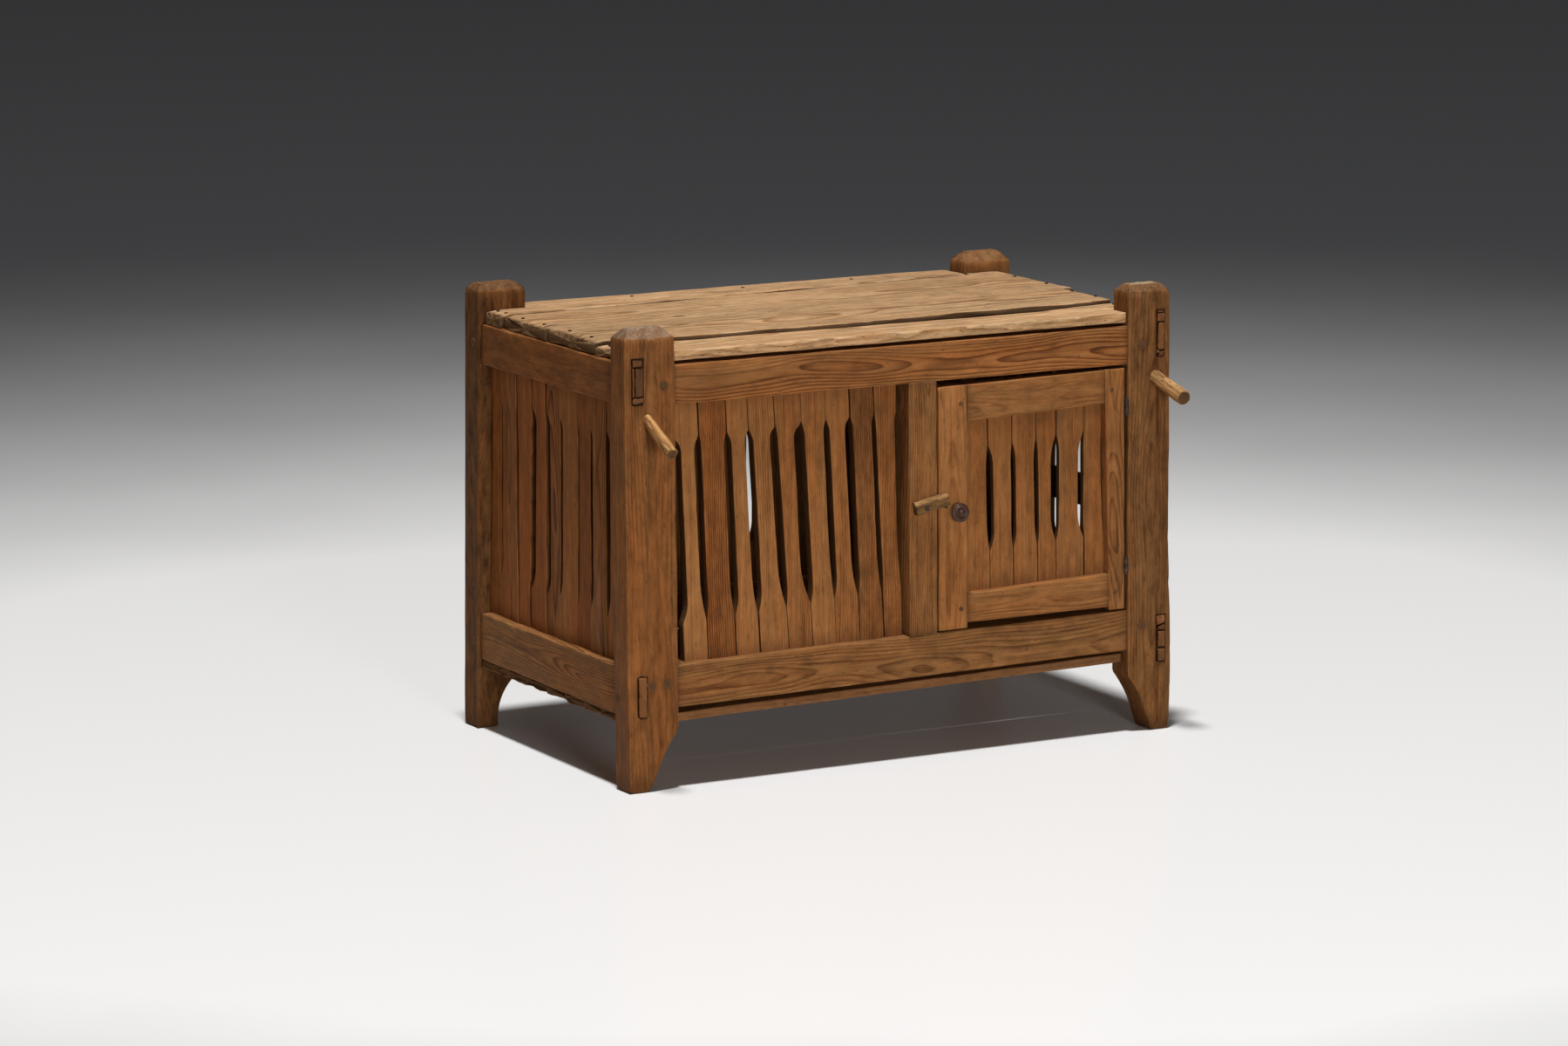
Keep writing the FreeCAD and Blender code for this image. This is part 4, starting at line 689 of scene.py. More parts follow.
def aged_wood():
    """Shared wood: growth rings are the distance from a wandering pith, divided by their spacing,
    and fine fibres, stains, knots, cracks, rubbed arrises and end grain lie over them, with the
    painted shade and the painted highlight that the wear attribute carries."""
    found = bpy.data.node_groups.get("aged_wood")
    if found:
        return found
    tree = bpy.data.node_groups.new("aged_wood", "ShaderNodeTree")
    sockets = [(name, "INPUT", "NodeSocketColor") for name in WOOD_PAINTS]
    sockets += [(name, "INPUT", "NodeSocketFloat") for name in WOOD_AMOUNTS]
    sockets += [(name, "OUTPUT", kind) for name, kind in WOOD_RESULTS.items()]
    for name, way, kind in sockets:
        tree.interface.new_socket(name=name, in_out=way, socket_type=kind)
    g = Graph(tree)
    given = g.add("NodeGroupInput").outputs
    grain, wear, finish = (g.attribute(name) for name in ("grain", "wear", "finish"))
    arris, end, grime_and_shade = g.split(wear)
    tone, warmth, figure = g.split(finish)
    noise = {name: g.noise(grain, *row) for name, row in NOISES.items()}

    # Knots: a few cells of a stretched Voronoi pattern
    cells = g.add("ShaderNodeTexVoronoi", {"Vector": g.scaled(grain, (4.5, 11.0, 11.0)),
                                           "Scale": 1.0, "Randomness": 0.9}).outputs
    chosen = g.math("GREATER_THAN", g.split(cells["Color"])[0], g.minus(1.0, given["Knot Amount"]))
    knot_near = g.times(g.ranged(cells["Distance"], 0.0, 0.30, 1.0, 0.0), chosen)
    knot_core = g.times(g.ranged(cells["Distance"], 0.035, 0.075, 1.0, 0.0), chosen)

    # Rings round a pith that wanders along the piece and swells past the knots
    sway = g.noise(grain, (2.6, 5.0, 5.0), 1.5, 0.5, "Color")
    sway = g.vector("SUBTRACT", sway, (0.5, 0.5, 0.5)).outputs[0]
    moved = g.vector("ADD", grain, g.scaled(sway, given["Wander"])).outputs[0]
    outward = g.scaled(moved, (0.0, 1.0, 1.0))
    radius = g.vector("LENGTH", outward).outputs["Value"]
    radius = g.plus(radius, g.swing(noise["wobble"], 0.0022))
    radius = g.plus(radius, g.times(knot_near, 0.012))
    count = g.math("DIVIDE", radius, given["Spacing"])
    count = g.plus(count, g.times(noise["drift"], 3.0))
    part = g.math("FRACT", count)
    late = g.times(g.ranged(part, 0.15, 0.86, kind="LINEAR"), g.ranged(part, 0.88, 1.0, 1.0, 0.0))
    late = g.math("POWER", late, 1.6)

    # Paint that the rings, where they are clear, and the fibres mix
    clear = g.ranged(noise["clear"], 0.38, 0.60, 0.55, 1.2)
    mixed = g.times(late, g.times(given["Ring Strength"], figure))
    mixed = g.times(mixed, clear)
    mixed = g.plus(mixed, g.swing(noise["strands"], 1.15))
    mixed = g.plus(mixed, g.swing(noise["fibre"], 1.05))
    mixed = g.plus(mixed, g.swing(noise["broad"], 0.9), clamp=True)
    painted = g.blend(mixed, given["Pale"], given["Dark"])

    # Tone and warmth of this piece, and slow changes along it
    level = g.plus(g.times(tone, 0.22), g.ranged(noise["slow"], 0.25, 0.75, 0.86, 1.14, "LINEAR"))
    level = g.plus(level, g.ranged(noise["bands"], 0.3, 0.7, -0.06, 0.06, "LINEAR"))
    level = g.plus(level, g.ranged(noise["mottle"], 0.3, 0.7, -0.30, 0.24, "LINEAR"))
    hue = g.times(g.ranged(noise["hue"], 0.3, 0.7, -0.5, 0.8, "LINEAR"), given["Hue Amount"])
    warmth = g.plus(warmth, hue)
    tint = [g.times(level, g.plus(1.0, g.times(warmth, pull))) for pull in (0.05, -0.10, -0.22)]
    tint = g.add("ShaderNodeCombineColor", dict(enumerate(tint))).outputs[0]
    painted = g.blend(1.0, painted, tint, "MULTIPLY")

    # Rubbed arrises and a painted highlight, old dirt and painted shade, knots and cracks
    worn = g.times(g.times(arris, given["Rub Amount"]), g.ranged(noise["rubbing"], 0.46, 0.66))
    painted = g.blend(worn, painted, given["Bare"])
    darkened = g.times(g.ranged(noise["blotch"], 0.58, 0.72), given["Stain Amount"])
    # The dirt channel of the wear brings in dirt and painted shade
    darkened = g.larger(darkened, g.times(grime_and_shade, 0.55))
    specks = g.ranged(noise["speck"], 0.64, 0.72)
    darkened = g.larger(darkened, g.times(specks, g.times(given["Stain Amount"], 1.7)))
    painted = g.blend(darkened, painted, given["Stain"])
    painted = g.blend(g.times(knot_core, 0.8), painted, given["Stain"])
    ridge = g.math("ABSOLUTE", g.minus(noise["crack"], 0.5))
    gate = g.ranged(noise["crack_gap"], 0.55, 0.63)
    crack = g.times(g.ranged(ridge, 0.0, 0.006, 1.0, 0.0), g.times(gate, given["Crack Amount"]))
    painted = g.blend(crack, painted, given["Stain"])

    # Weathered end grain, with checks that run out from the pith
    aim = g.vector("NORMALIZE", outward).outputs[0]
    check = g.times(g.ranged(g.noise(aim, (1.0, 38.0, 38.0), 2.0), 0.58, 0.70), end)
    faded = g.times(end, g.ranged(noise["mottle"], 0.38, 0.62, 0.45, 1.0))
    painted = g.blend(faded, painted, given["End"])
    painted = g.blend(g.times(check, 0.75), painted, given["Stain"])

    rough = g.plus(g.ranged(noise["slow"], 0.3, 0.7, 0.50, 0.66, "LINEAR"), g.times(darkened, 0.15))
    rough = g.plus(rough, g.times(end, 0.15))
    relief = g.plus(g.times(noise["fibre"], 0.45), g.times(late, 0.18))
    relief = g.plus(relief, g.times(noise["dents"], 0.55))
    relief = g.minus(relief, g.times(crack, 1.3))
    relief = g.minus(relief, g.times(specks, 0.5))
    relief = g.minus(relief, check)
    g.add("NodeGroupOutput", {"Color": painted, "Roughness": rough, "Height": relief})
    return tree


def shader_material(name):
    """New material with a Principled shader, as its graph and the shader"""
    material = bpy.data.materials.new(name)
    material.use_nodes = True
    material.node_tree.nodes.clear()
    g = Graph(material.node_tree)
    shader = g.add("ShaderNodeBsdfPrincipled")
    g.add("ShaderNodeOutputMaterial", {"Surface": shader.outputs[0]})
    return material, g, shader


# Strength and depth of the bump on planed, on scrubbed and on whittled wood
PLANED, SCRUBBED, WHITTLED = (0.45, 0.5 * MM), (0.6, 0.8 * MM), (0.8, 0.5 * MM)

# Amounts that both kinds of post share
POST_AMOUNTS = {"Spacing": 0.0048, "Ring Strength": 0.5, "Stain Amount": 0.3, "Rub Amount": 0.16,
                "Crack Amount": 0.18}

# Each wood's colours, its end grain, its bump and its own amounts
WOODS = {
    "silver_post": ("frame", "end_silver", PLANED, POST_AMOUNTS),
    "aged_post": ("frame", "end_pale", PLANED, POST_AMOUNTS),
    "aged_frame": ("frame", "end_grey", PLANED, {"Spacing": 0.0038, "Ring Strength": 0.7}),
    "figured_frame": ("frame", "end_grey", PLANED,
                      {"Spacing": 0.0052, "Ring Strength": 0.85, "Stain Amount": 0.26,
                       "Knot Amount": 0.0, "Wander": 0.085}),
    "aged_slat": ("slat", "end_grey", PLANED,
                  {"Stain Amount": 0.2, "Rub Amount": 0.4, "Crack Amount": 0.15,
                   "Knot Amount": 0.04}),
    "aged_top": ("top", "end_grey", SCRUBBED,
                 {"Spacing": 0.006, "Ring Strength": 0.85, "Stain Amount": 0.34,
                  "Rub Amount": 0.85, "Crack Amount": 0.8, "Knot Amount": 0.14,
                  "Hue Amount": 0.5}),
    "aged_floor": ("floor", "end_grey", PLANED,
                   {"Ring Strength": 0.6, "Stain Amount": 0.55, "Rub Amount": 0.2,
                    "Crack Amount": 0.5, "Wander": 0.04}),
    "aged_dowel": ("dowel", "end_dark", PLANED,
                   {"Spacing": 0.0022, "Ring Strength": 0.6, "Stain Amount": 0.5,
                    "Rub Amount": 0.2, "Crack Amount": 0.3, "Knot Amount": 0.0, "Wander": 0.01}),
    "aged_peg": ("peg", "end_dark", WHITTLED,
                 {"Spacing": 0.0034, "Ring Strength": 0.8, "Stain Amount": 0.5,
                  "Rub Amount": 0.8, "Crack Amount": 0.9, "Knot Amount": 0.0, "Wander": 0.02}),
}


def wood(name):
    """Material on the shared wood, from its row in WOODS"""
    found = bpy.data.materials.get(name)
    if found:
        return found
    family, end, (bump, depth), amounts = WOODS[name]
    bare = "top_bare" if family == "top" else "bare"
    colours = [getattr(bpy.context.scene.chest_colours, paint)
               for paint in (family + "_pale", family + "_dark", "stain", bare, end)]
    paints = dict(zip(WOOD_PAINTS, map(opaque, colours)))
    material, g, shader = shader_material(name)
    made = g.add("ShaderNodeGroup", {**paints, **WOOD_AMOUNTS, **amounts},
                 node_tree=aged_wood()).outputs
    relief = g.add("ShaderNodeBump", {"Height": made["Height"], "Strength": bump,
                                      "Distance": depth}).outputs[0]
    g.put(shader, {"Base Color": made["Color"], "Roughness": made["Roughness"],
                   "Normal": relief, "Specular IOR Level": 0.07})
    return material


def turned_wood():
    """Dark polished knob: rings of grain across Object space and a gloss that dulls in spots"""
    colours = bpy.context.scene.chest_colours
    material, g, shader = shader_material("turned_wood")
    place = g.add("ShaderNodeTexCoord").outputs["Object"]
    grain = g.noise(place, (420.0, 420.0, 60.0), 4.0, 0.6)
    patch = g.noise(place, (90.0, 90.0, 90.0), 3.0)
    paint = g.blend(g.ranged(grain, 0.35, 0.7), opaque(colours.knob),
                    opaque(np.array(colours.knob) * 1.8))
    relief = g.add("ShaderNodeBump", {"Height": grain, "Strength": 0.3, "Distance": 0.3 * MM})
    g.put(shader, {"Base Color": paint, "Roughness": g.ranged(patch, 0.3, 0.7, 0.30, 0.48),
                   "Normal": relief.outputs[0], "Specular IOR Level": 0.28})
    return material


def forged_iron():
    """Blackened iron: brown bloom where a slow noise is high, pits in its bump"""
    colours = bpy.context.scene.chest_colours
    material, g, shader = shader_material("forged_iron")
    place = g.add("ShaderNodeTexCoord").outputs["Object"]
    bloom = g.noise(place, (160.0, 160.0, 160.0), 5.0, 0.65)
    pits = g.noise(place, (900.0, 900.0, 900.0), 3.0)
    mask = g.ranged(bloom, 0.42, 0.66)
    relief = g.add("ShaderNodeBump", {"Height": g.plus(pits, bloom), "Strength": 0.5,
                                      "Distance": 0.3 * MM})
    g.put(shader, {"Base Color": g.blend(mask, opaque(colours.iron), opaque(colours.rust)),
                   "Metallic": g.minus(0.85, mask),
                   "Roughness": g.ranged(bloom, 0.35, 0.7, 0.42, 0.85),
                   "Normal": relief.outputs[0]})
    return material


# Pieces over single bars


def bar_piece(node, axis, wide, deep, look, material, body="carcass", slot="frame_wood",
              span=None, rounds=None, buries=None, arris=None, uneven=None, seed=0, **more):
    """Piece over a CAD node that is one bar"""
    wear = bpy.context.scene.chest_wear
    corners, solids = solids_of(node)
    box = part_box(node)
    low, high = span or (box[0][axis], box[1][axis])
    part = bar_on(corners, solids[0], axis, wide, deep, (low, high), wear.seed * 1000 + seed,
                  wear.arris if arris is None else arris, wear.uneven if uneven is None else uneven,
                  rounds or (wear.joint, wear.joint), buries or (wear.bury, wear.bury), wear.step,
                  **more)
    whole_piece(node + "_wood", [part], [look], material, body, [node])


def slat_group(node, looks, body, seed, wide=X, deep=Y, sway=0.7 * MM):
    """Piece over a node of one or more slats: each solid is a bar along Z that stands out or in
    and tilts by up to the sway"""
    wear = bpy.context.scene.chest_wear
    parts = []
    corners, solids = solids_of(node)
    for index, solid in enumerate(solids):
        low = corners[solid.ravel(), Z].min()
        high = corners[solid.ravel(), Z].max()
        part_seed = wear.seed * 1000 + seed + 10 * index
        rng = np.random.default_rng(part_seed)
        straight = (rng.choice([-1, 1]) * rng.uniform(0.04, 0.12), rng.uniform(0.0, 0.03))
        offset, tilt = rng.uniform(-1, 1, 2) * sway
        middle = corners[solid.ravel(), wide].mean()
        flat = (rng.uniform(-0.015, 0.015), rng.uniform(0.025, 0.06))

        def leaning(points, normal, worn, offset=offset, tilt=tilt, middle=middle, low=low,
                    high=high):
            """Moves the slat by the offset, and by the tilt for each 30 mm from its middle, darkens
            its narrow sides with painted shade, and darkens the places where it meets the rails
            with dirt and painted shade"""
            points[..., deep] += offset + tilt * (points[..., wide] - middle) / (30 * MM)
            ends = np.minimum(points[..., Z] - low, high - points[..., Z])
            # Dirt and painted shade towards the ends, where the slat runs into the rails
            raise_to(worn, DIRT_AND_SHADE, 0.5 * (1 - smooth(ends, 0.012, 0.045)))
            # Painted shade on the narrow sides, in the slots between the slats
            raise_to(worn, DIRT_AND_SHADE, 1.4 * (np.abs(normal[:, 0]) > 0.9))

        parts.append(bar_on(corners, solid, Z, wide, deep, (low, high), part_seed,
                            wear.slat_arris, wear.uneven * 0.8, (wear.joint, wear.joint),
                            (0, 0), wear.step, counts=(5, 1), reshape=leaning,
                            pith=flat if index % 3 == 1 else straight))
    whole_piece(node + "_wood", parts, looks, wood("aged_slat"), body, [node])


# Operators


class ChestOperator:
    """What every step of the build shares"""
    bl_options = {"REGISTER", "UNDO"}

    def execute(self, context):
        self.build(context.scene)
        return {"FINISHED"}


def sunk_places(rects):
    """Sinks rectangles into the front of a post. A point sinks by a rectangle's depth where its
    signed distance to it, in X and Z, is below zero, in a smooth step 0.6 mm wide. The ground is
    darkened as painted shade, and the rim within 4 mm has dirt on it."""
    def reshape(points, normal, wear):
        front = (normal[:, 1] < -0.9)[None, :]
        for low_x, low_z, high_x, high_z, corner, depth in rects:
            middle = at((low_x + high_x) / 2, 0, (low_z + high_z) / 2)
            half = np.array([high_x - low_x, high_z - low_z]) / 2 * MM - corner * MM
            away = np.abs(points[..., [X, Z]] - middle[[X, Z]]) - half
            distance = (np.linalg.norm(np.maximum(away, 0), axis=-1)
                        + np.minimum(away.max(axis=-1), 0) - corner * MM)
            sunk = (1 - smooth(distance, -0.3 * MM, 0.3 * MM)) * front
            points[..., Y] += depth * MM * sunk
            edge = (1 - smooth(distance, 0, 4 * MM)) * front * (0.45 if corner else 0.25)
            raise_to(wear, DIRT_AND_SHADE, edge)
            # Painted shade on the ground of each recess
            raise_to(wear, DIRT_AND_SHADE, 1.8 * sunk * front)
    return reshape


# Open mortises and long cracks on the fronts of the front posts: left, bottom, right, top, corner
# radius and depth, in millimetres
SUNK = {
    "front_left_post": ((12.6, 623.6, 34.8, 699.0, 0.6, 7.0), (16.6, 120.4, 35.4, 189.8, 7.0, 6.0)),
    "front_right_post": ((978.6, 629.0, 994.7, 707.8, 0.6, 7.0),
                         (979.6, 114.6, 998.7, 195.9, 0.6, 7.0),
                         (980.6, 500.0, 981.9, 629.6, 0, 2.2)),
}

# Wedges and tenon ends that fill the mortises: how proud, tone, dirt, how far the face is dark end
# grain, and corners as X, Z
BLOCKS = (
    (1.0, 0.4, 0.1, 0.5, ((14.0, 685.0), (31.6, 685.6), (31.9, 695.6), (14.2, 697.6))),
    (0.6, 1.8, 0.0, 0.1, ((13.6, 637.6), (17.8, 637.2), (18.2, 683.8), (14.0, 683.6))),
    (0.9, 0.2, 0.1, 0.6, ((18.3, 637.2), (32.8, 637.7), (33.4, 684.2), (18.6, 683.8))),
    (1.0, 1.4, 0.1, 0.3, ((13.8, 625.4), (33.6, 628.2), (34.1, 636.4), (14.0, 635.8))),
    (1.0, 2.2, 0.0, 0.1, ((18.3, 122.5), (33.6, 122.2), (33.8, 188.0), (18.5, 188.3))),
    (0.4, 1.5, 0.3, 0.5, ((980.0, 702.3), (993.2, 702.1), (993.4, 706.6), (980.6, 706.8))),
    (1.0, 1.8, 0.0, 0.5, ((980.4, 687.5), (993.6, 687.4), (993.8, 701.9), (980.0, 702.1))),
    (0.8, 2.9, 0.1, 0.4, ((981.5, 640.7), (993.4, 640.8), (993.6, 686.6), (981.9, 686.9))),
    (0.7, 2.4, 0.2, 0.3, ((979.5, 634.3), (985.3, 635.5), (985.9, 639.9), (979.6, 640.6))),
    (0.9, 2.0, 0.2, 0.5, ((981.7, 630.0), (993.5, 629.9), (993.7, 639.2), (986.1, 638.8))),
    (1.0, 3.4, 0.1, 0.2, ((981.6, 177.1), (997.5, 182.6), (997.9, 194.8), (980.2, 195.0))),
    (0.8, 1.4, 0.1, 0.6, ((982.6, 171.3), (997.3, 168.6), (997.6, 180.8), (985.1, 176.0))),
    (0.9, 2.4, 0.1, 0.4, ((983.6, 140.8), (997.3, 140.0), (997.6, 167.3), (983.7, 168.2))),
    (1.0, 2.0, 0.0, 0.8, ((984.2, 116.0), (997.5, 116.8), (997.7, 137.7), (984.0, 138.6))),
)


def edge_places(rects, axis):
    """Places 0.3 mm before, on and 0.3 mm after the edges of the sunk places: axis 0 is across
    the post and 1 is up"""
    edges = np.array([rect[k] for rect in rects for k in (axis, axis + 2)])
    return np.concatenate([edges - 0.3, edges, edges + 0.3]) * MM


def sunk_lines(rects, left, right):
    """Grid lines of a post's front: at the edges of the sunk places and between them"""
    places = np.sort(edge_places(rects, 0)) + CORNER[X]
    places = places[np.concatenate([[True], np.diff(places) > 0.12 * MM])]
    steady = np.linspace(left + 8 * MM, right - 8 * MM, 14)
    clear = np.abs(steady[:, None] - places).min(axis=1) > 2 * MM
    return np.sort(np.concatenate([places, steady[clear]]))


def smudges(spots):
    """Dirt on the front of a piece, as a bell curve round each spot. A spot is X, Z, width,
    height and amount, all but the last in millimetres."""
    def mark(points, normal, wear):
        front = (normal[:, 1] < -0.5)[None, :]
        for x, z, wide, tall, amount in spots:
            raise_to(wear, DIRT_AND_SHADE, amount * bell(points, at(x, 0, z), (wide, tall)) * front)
    return mark


# Smudges on the fronts of the front posts and of the front rails
POST_SMUDGES = {
    "front_left_post": ((24, 704, 18, 9, 0.5), (46, 716, 40, 9, 0.3), (78, 690, 9, 30, 0.3),
                        (7, 660, 5, 40, 0.45), (52, 560, 20, 50, 0.22),
                        (41, 668, 4, 28, 0.5), (30, 610, 26, 9, 0.35), (70, 652, 9, 10, 0.7),
                        (70, 172, 9, 10, 0.6), (42, 172, 9, 11, 0.6), (26, 190, 11, 7, 0.6),
                        (73, 624, 3, 4, 0.9), (73, 599, 3, 5, 0.9), (12, 560, 10, 60, 0.3),
                        (60, 500, 8, 70, 0.3), (34, 300, 16, 60, 0.25), (80, 128, 6, 9, 0.6)),
    "front_right_post": ((985, 722, 14, 16, 0.6), (952, 652, 9, 10, 0.8), (952, 180, 9, 10, 0.7),
                         (975, 596, 14, 14, 0.5), (940, 420, 10, 90, 0.3), (990, 300, 10, 80, 0.3),
                         (978, 470, 7, 60, 0.4), (990, 205, 14, 9, 0.5)),
}
FRONT_RAIL_SMUDGES = (
    ((150, 652, 90, 40, 0.75), (400, 655, 110, 40, 0.42), (120, 672, 60, 9, 0.35),
     (300, 640, 70, 16, 0.35), (210, 650, 30, 22, 0.3), (360, 668, 22, 10, 0.3),
     (160, 628, 70, 6, 0.4), (905, 650, 14, 22, 0.2)),
    ((255, 178, 8, 8, 1.0), (322, 186, 10, 8, 0.8), (118, 196, 30, 5, 0.6),
     (560, 168, 7, 6, 0.8), (330, 182, 12, 8, 0.4), (470, 150, 60, 9, 0.35),
     (700, 190, 50, 8, 0.3), (820, 150, 10, 7, 0.5), (120, 140, 30, 8, 0.4)),
)


def broken_crown(top, seed):
    """Uneven end grain on top of a post: it sinks by up to 3 mm along a slow and a quick ripple"""
    def end_cut(vertices, on_cap):
        up = on_cap & (vertices[:, Z] > top - 0.02)
        spots = vertices[up]
        dip = 0.9 * (1 + ripple(spots, seed, 0.030)) + np.clip(ripple(spots, seed + 1, 0.009), 0, 1)
        vertices[up, Z] -= np.maximum(dip, 0) * MM
    return end_cut


# Finish of each post, the height of its bevel in millimetres and its wood
POSTS = {
    "front_left_post": ((-0.8, 0.7, 1.0), 15, "silver_post"),
    "front_right_post": ((-1.35, -0.3, 1.0), 11, "aged_post"),
    "back_left_post": ((-2.4, 0.1, 0.5), 10.5, "aged_post"),
    "back_right_post": ((-0.9, 0.1, 0.9), 15, "aged_post"),
}

# Widths of the two front posts' fronts in millimetres
FRONT_WIDTHS = (90, 80)

# In metres: how deep below a post's top its rings are close, and the distances from its foot and
# from its top between which the grid lines keep their places
CROWN_DEPTH, LINES_BOTTOM, LINES_TOP = 0.024, 0.108, 0.030


class CHEST_OT_posts(ChestOperator, bpy.types.Operator):
    """Four corner posts with worn bevelled tops, cut away feet and open mortises"""
    bl_idname = "chest.posts"
    bl_label = "Posts"

    def build(self, scene):
        wear = scene.chest_wear
        for index, (node, (look, bevel, timber)) in enumerate(POSTS.items()):
            low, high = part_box(node)
            rects = SUNK.get(node, ())
            marks = smudges(POST_SMUDGES.get(node, ()))
            seed = wear.seed * 100 + index

            def reshape(points, normal, worn, rects=rects, marks=marks, top=high.z,
                        bevel=bevel * MM, seed=seed, silver=timber == "silver_post"):
                """Sunk places and dirt, a foot rounded towards the sole and darkened there as
                painted contact shadow, and a bevel whose edge wanders by 3 mm and is rubbed in by
                1.3 mm, with dirt on it and, on the silver post, painted shade where it faces left"""
                sunk_places(rects)(points, normal, worn)
                marks(points, normal, worn)
                # Painted contact shadow: darker towards the sole
                raise_to(worn, DIRT_AND_SHADE, 0.8 * (1 - smooth(points[..., Z], 0, 0.045)))
                worn_foot = 1 - smooth(points[..., Z], 0, 0.030)
                cut = 2.2 * worn_foot ** 2 * (1 + 0.6 * ripple(points, seed + 4, 0.035))
                points[..., [X, Y]] -= (cut * MM)[..., None] * normal
                wander = 3 * MM * ripple(points, seed, 0.045)
                above = points[..., Z] - (top - bevel + wander)
                crown = smooth(above, -1.5 * MM, 1.5 * MM)
                cut = 1.3 * np.exp(-(above / (4 * MM)) ** 2)
                cut = cut + 0.7 * crown * (1 + ripple(points, seed + 2, 0.014))
                points[..., [X, Y]] -= (cut * MM)[..., None] * normal
                raise_to(worn, END, (0.5 if silver else 0.10) * crown)
                # Dirt on the bevel, and on the silver post painted shade on the bevel that faces
                # left
                side = normal[:, 0].clip(-1, 0) ** 2
                raise_to(worn, DIRT_AND_SHADE, (0.25 + 0.45 * side * silver) * crown)

            more = {"extra": np.linspace(high.z - CROWN_DEPTH, high.z, 16)}
            if rects:
                lines = sunk_lines(rects, low.x, low.x + FRONT_WIDTHS[index] * MM)
                more["lines"] = (lines, low.z + LINES_BOTTOM, high.z - LINES_TOP)
                more["extra"] = np.concatenate([edge_places(rects, 1), more["extra"]])
            bar_piece(node, Z, X, Y, look, wood(timber), rounds=(4.5 * MM, 1.5 * MM),
                      buries=(0, 0), arris=wear.arris * 1.4, counts=(9, 5), seed=100 + index * 10,
                      reshape=reshape, end_cut=broken_crown(high.z, seed),
                      pith=(0.01 * (index - 1), 0.045), **more)


class CHEST_OT_tenon_blocks(ChestOperator, bpy.types.Operator):
    """Wedges and tenon ends that show in the open mortises of the front posts"""
    bl_idname = "chest.tenon_blocks"
    bl_label = "Tenon blocks"

    def build(self, scene):
        seed = scene.chest_wear.seed * 10
        parts, looks = [], []
        for index, (proud, tone, dirt, end, outline) in enumerate(BLOCKS):
            parts.append(block(outline, -proud, seed + index, dirt, end))
            looks.append((tone - 0.9, 0.6, 1.0))
        whole_piece("tenon_blocks", parts, looks, wood("aged_dowel"), "carcass",
                    ["tenon_wedges"])


class CHEST_OT_dowels(ChestOperator, bpy.types.Operator):
    """Oval draw-bore dowels of the frame and of the door"""
    bl_idname = "chest.dowels"
    bl_label = "Dowels"

    def build(self, scene):
        rng = np.random.default_rng(scene.chest_wear.seed)
        for node, body in (("frame_dowels", "carcass"), ("door_dowels", "door")):
            corners, solids = solids_of(node)
            parts = [plug(corners[np.unique(solid)], 31 + index)
                     for index, solid in enumerate(solids)]
            looks = [(rng.uniform(-0.5, 1.2), 0.0, 1.0) for _ in parts]
            whole_piece(node + "_wood", parts, looks, wood("aged_dowel"), body,
                        [node])


class CHEST_OT_pegs(ChestOperator, bpy.types.Operator):
    """Whittled hanging pegs in the front posts"""
    bl_idname = "chest.pegs"
    bl_label = "Hanging pegs"

    def build(self, scene):
        for index, node in enumerate(("left_hanging_peg", "right_hanging_peg")):
            corners, solids = solids_of(node)
            part = whittled(corners[np.unique(solids[0])], scene.chest_wear.seed + 40 + 9 * index,
                            cuts=8 + 2 * index)
            whole_piece(node + "_wood", [part], [(-0.1, 0.1, 1.0)], wood("aged_peg"), "carcass",
                        [node])


# Place of the latch's pivot and its slope at rest in degrees, and its outline as shares of its
# depth and height, with a sloping top edge
LATCH_PLACE, LATCH_SLOPE = (537, 0, 416.8), 11.4
LATCH_OUTLINE = ((0, 0), (0, 0.72), (0.44, 1), (1, 1), (1, 0))


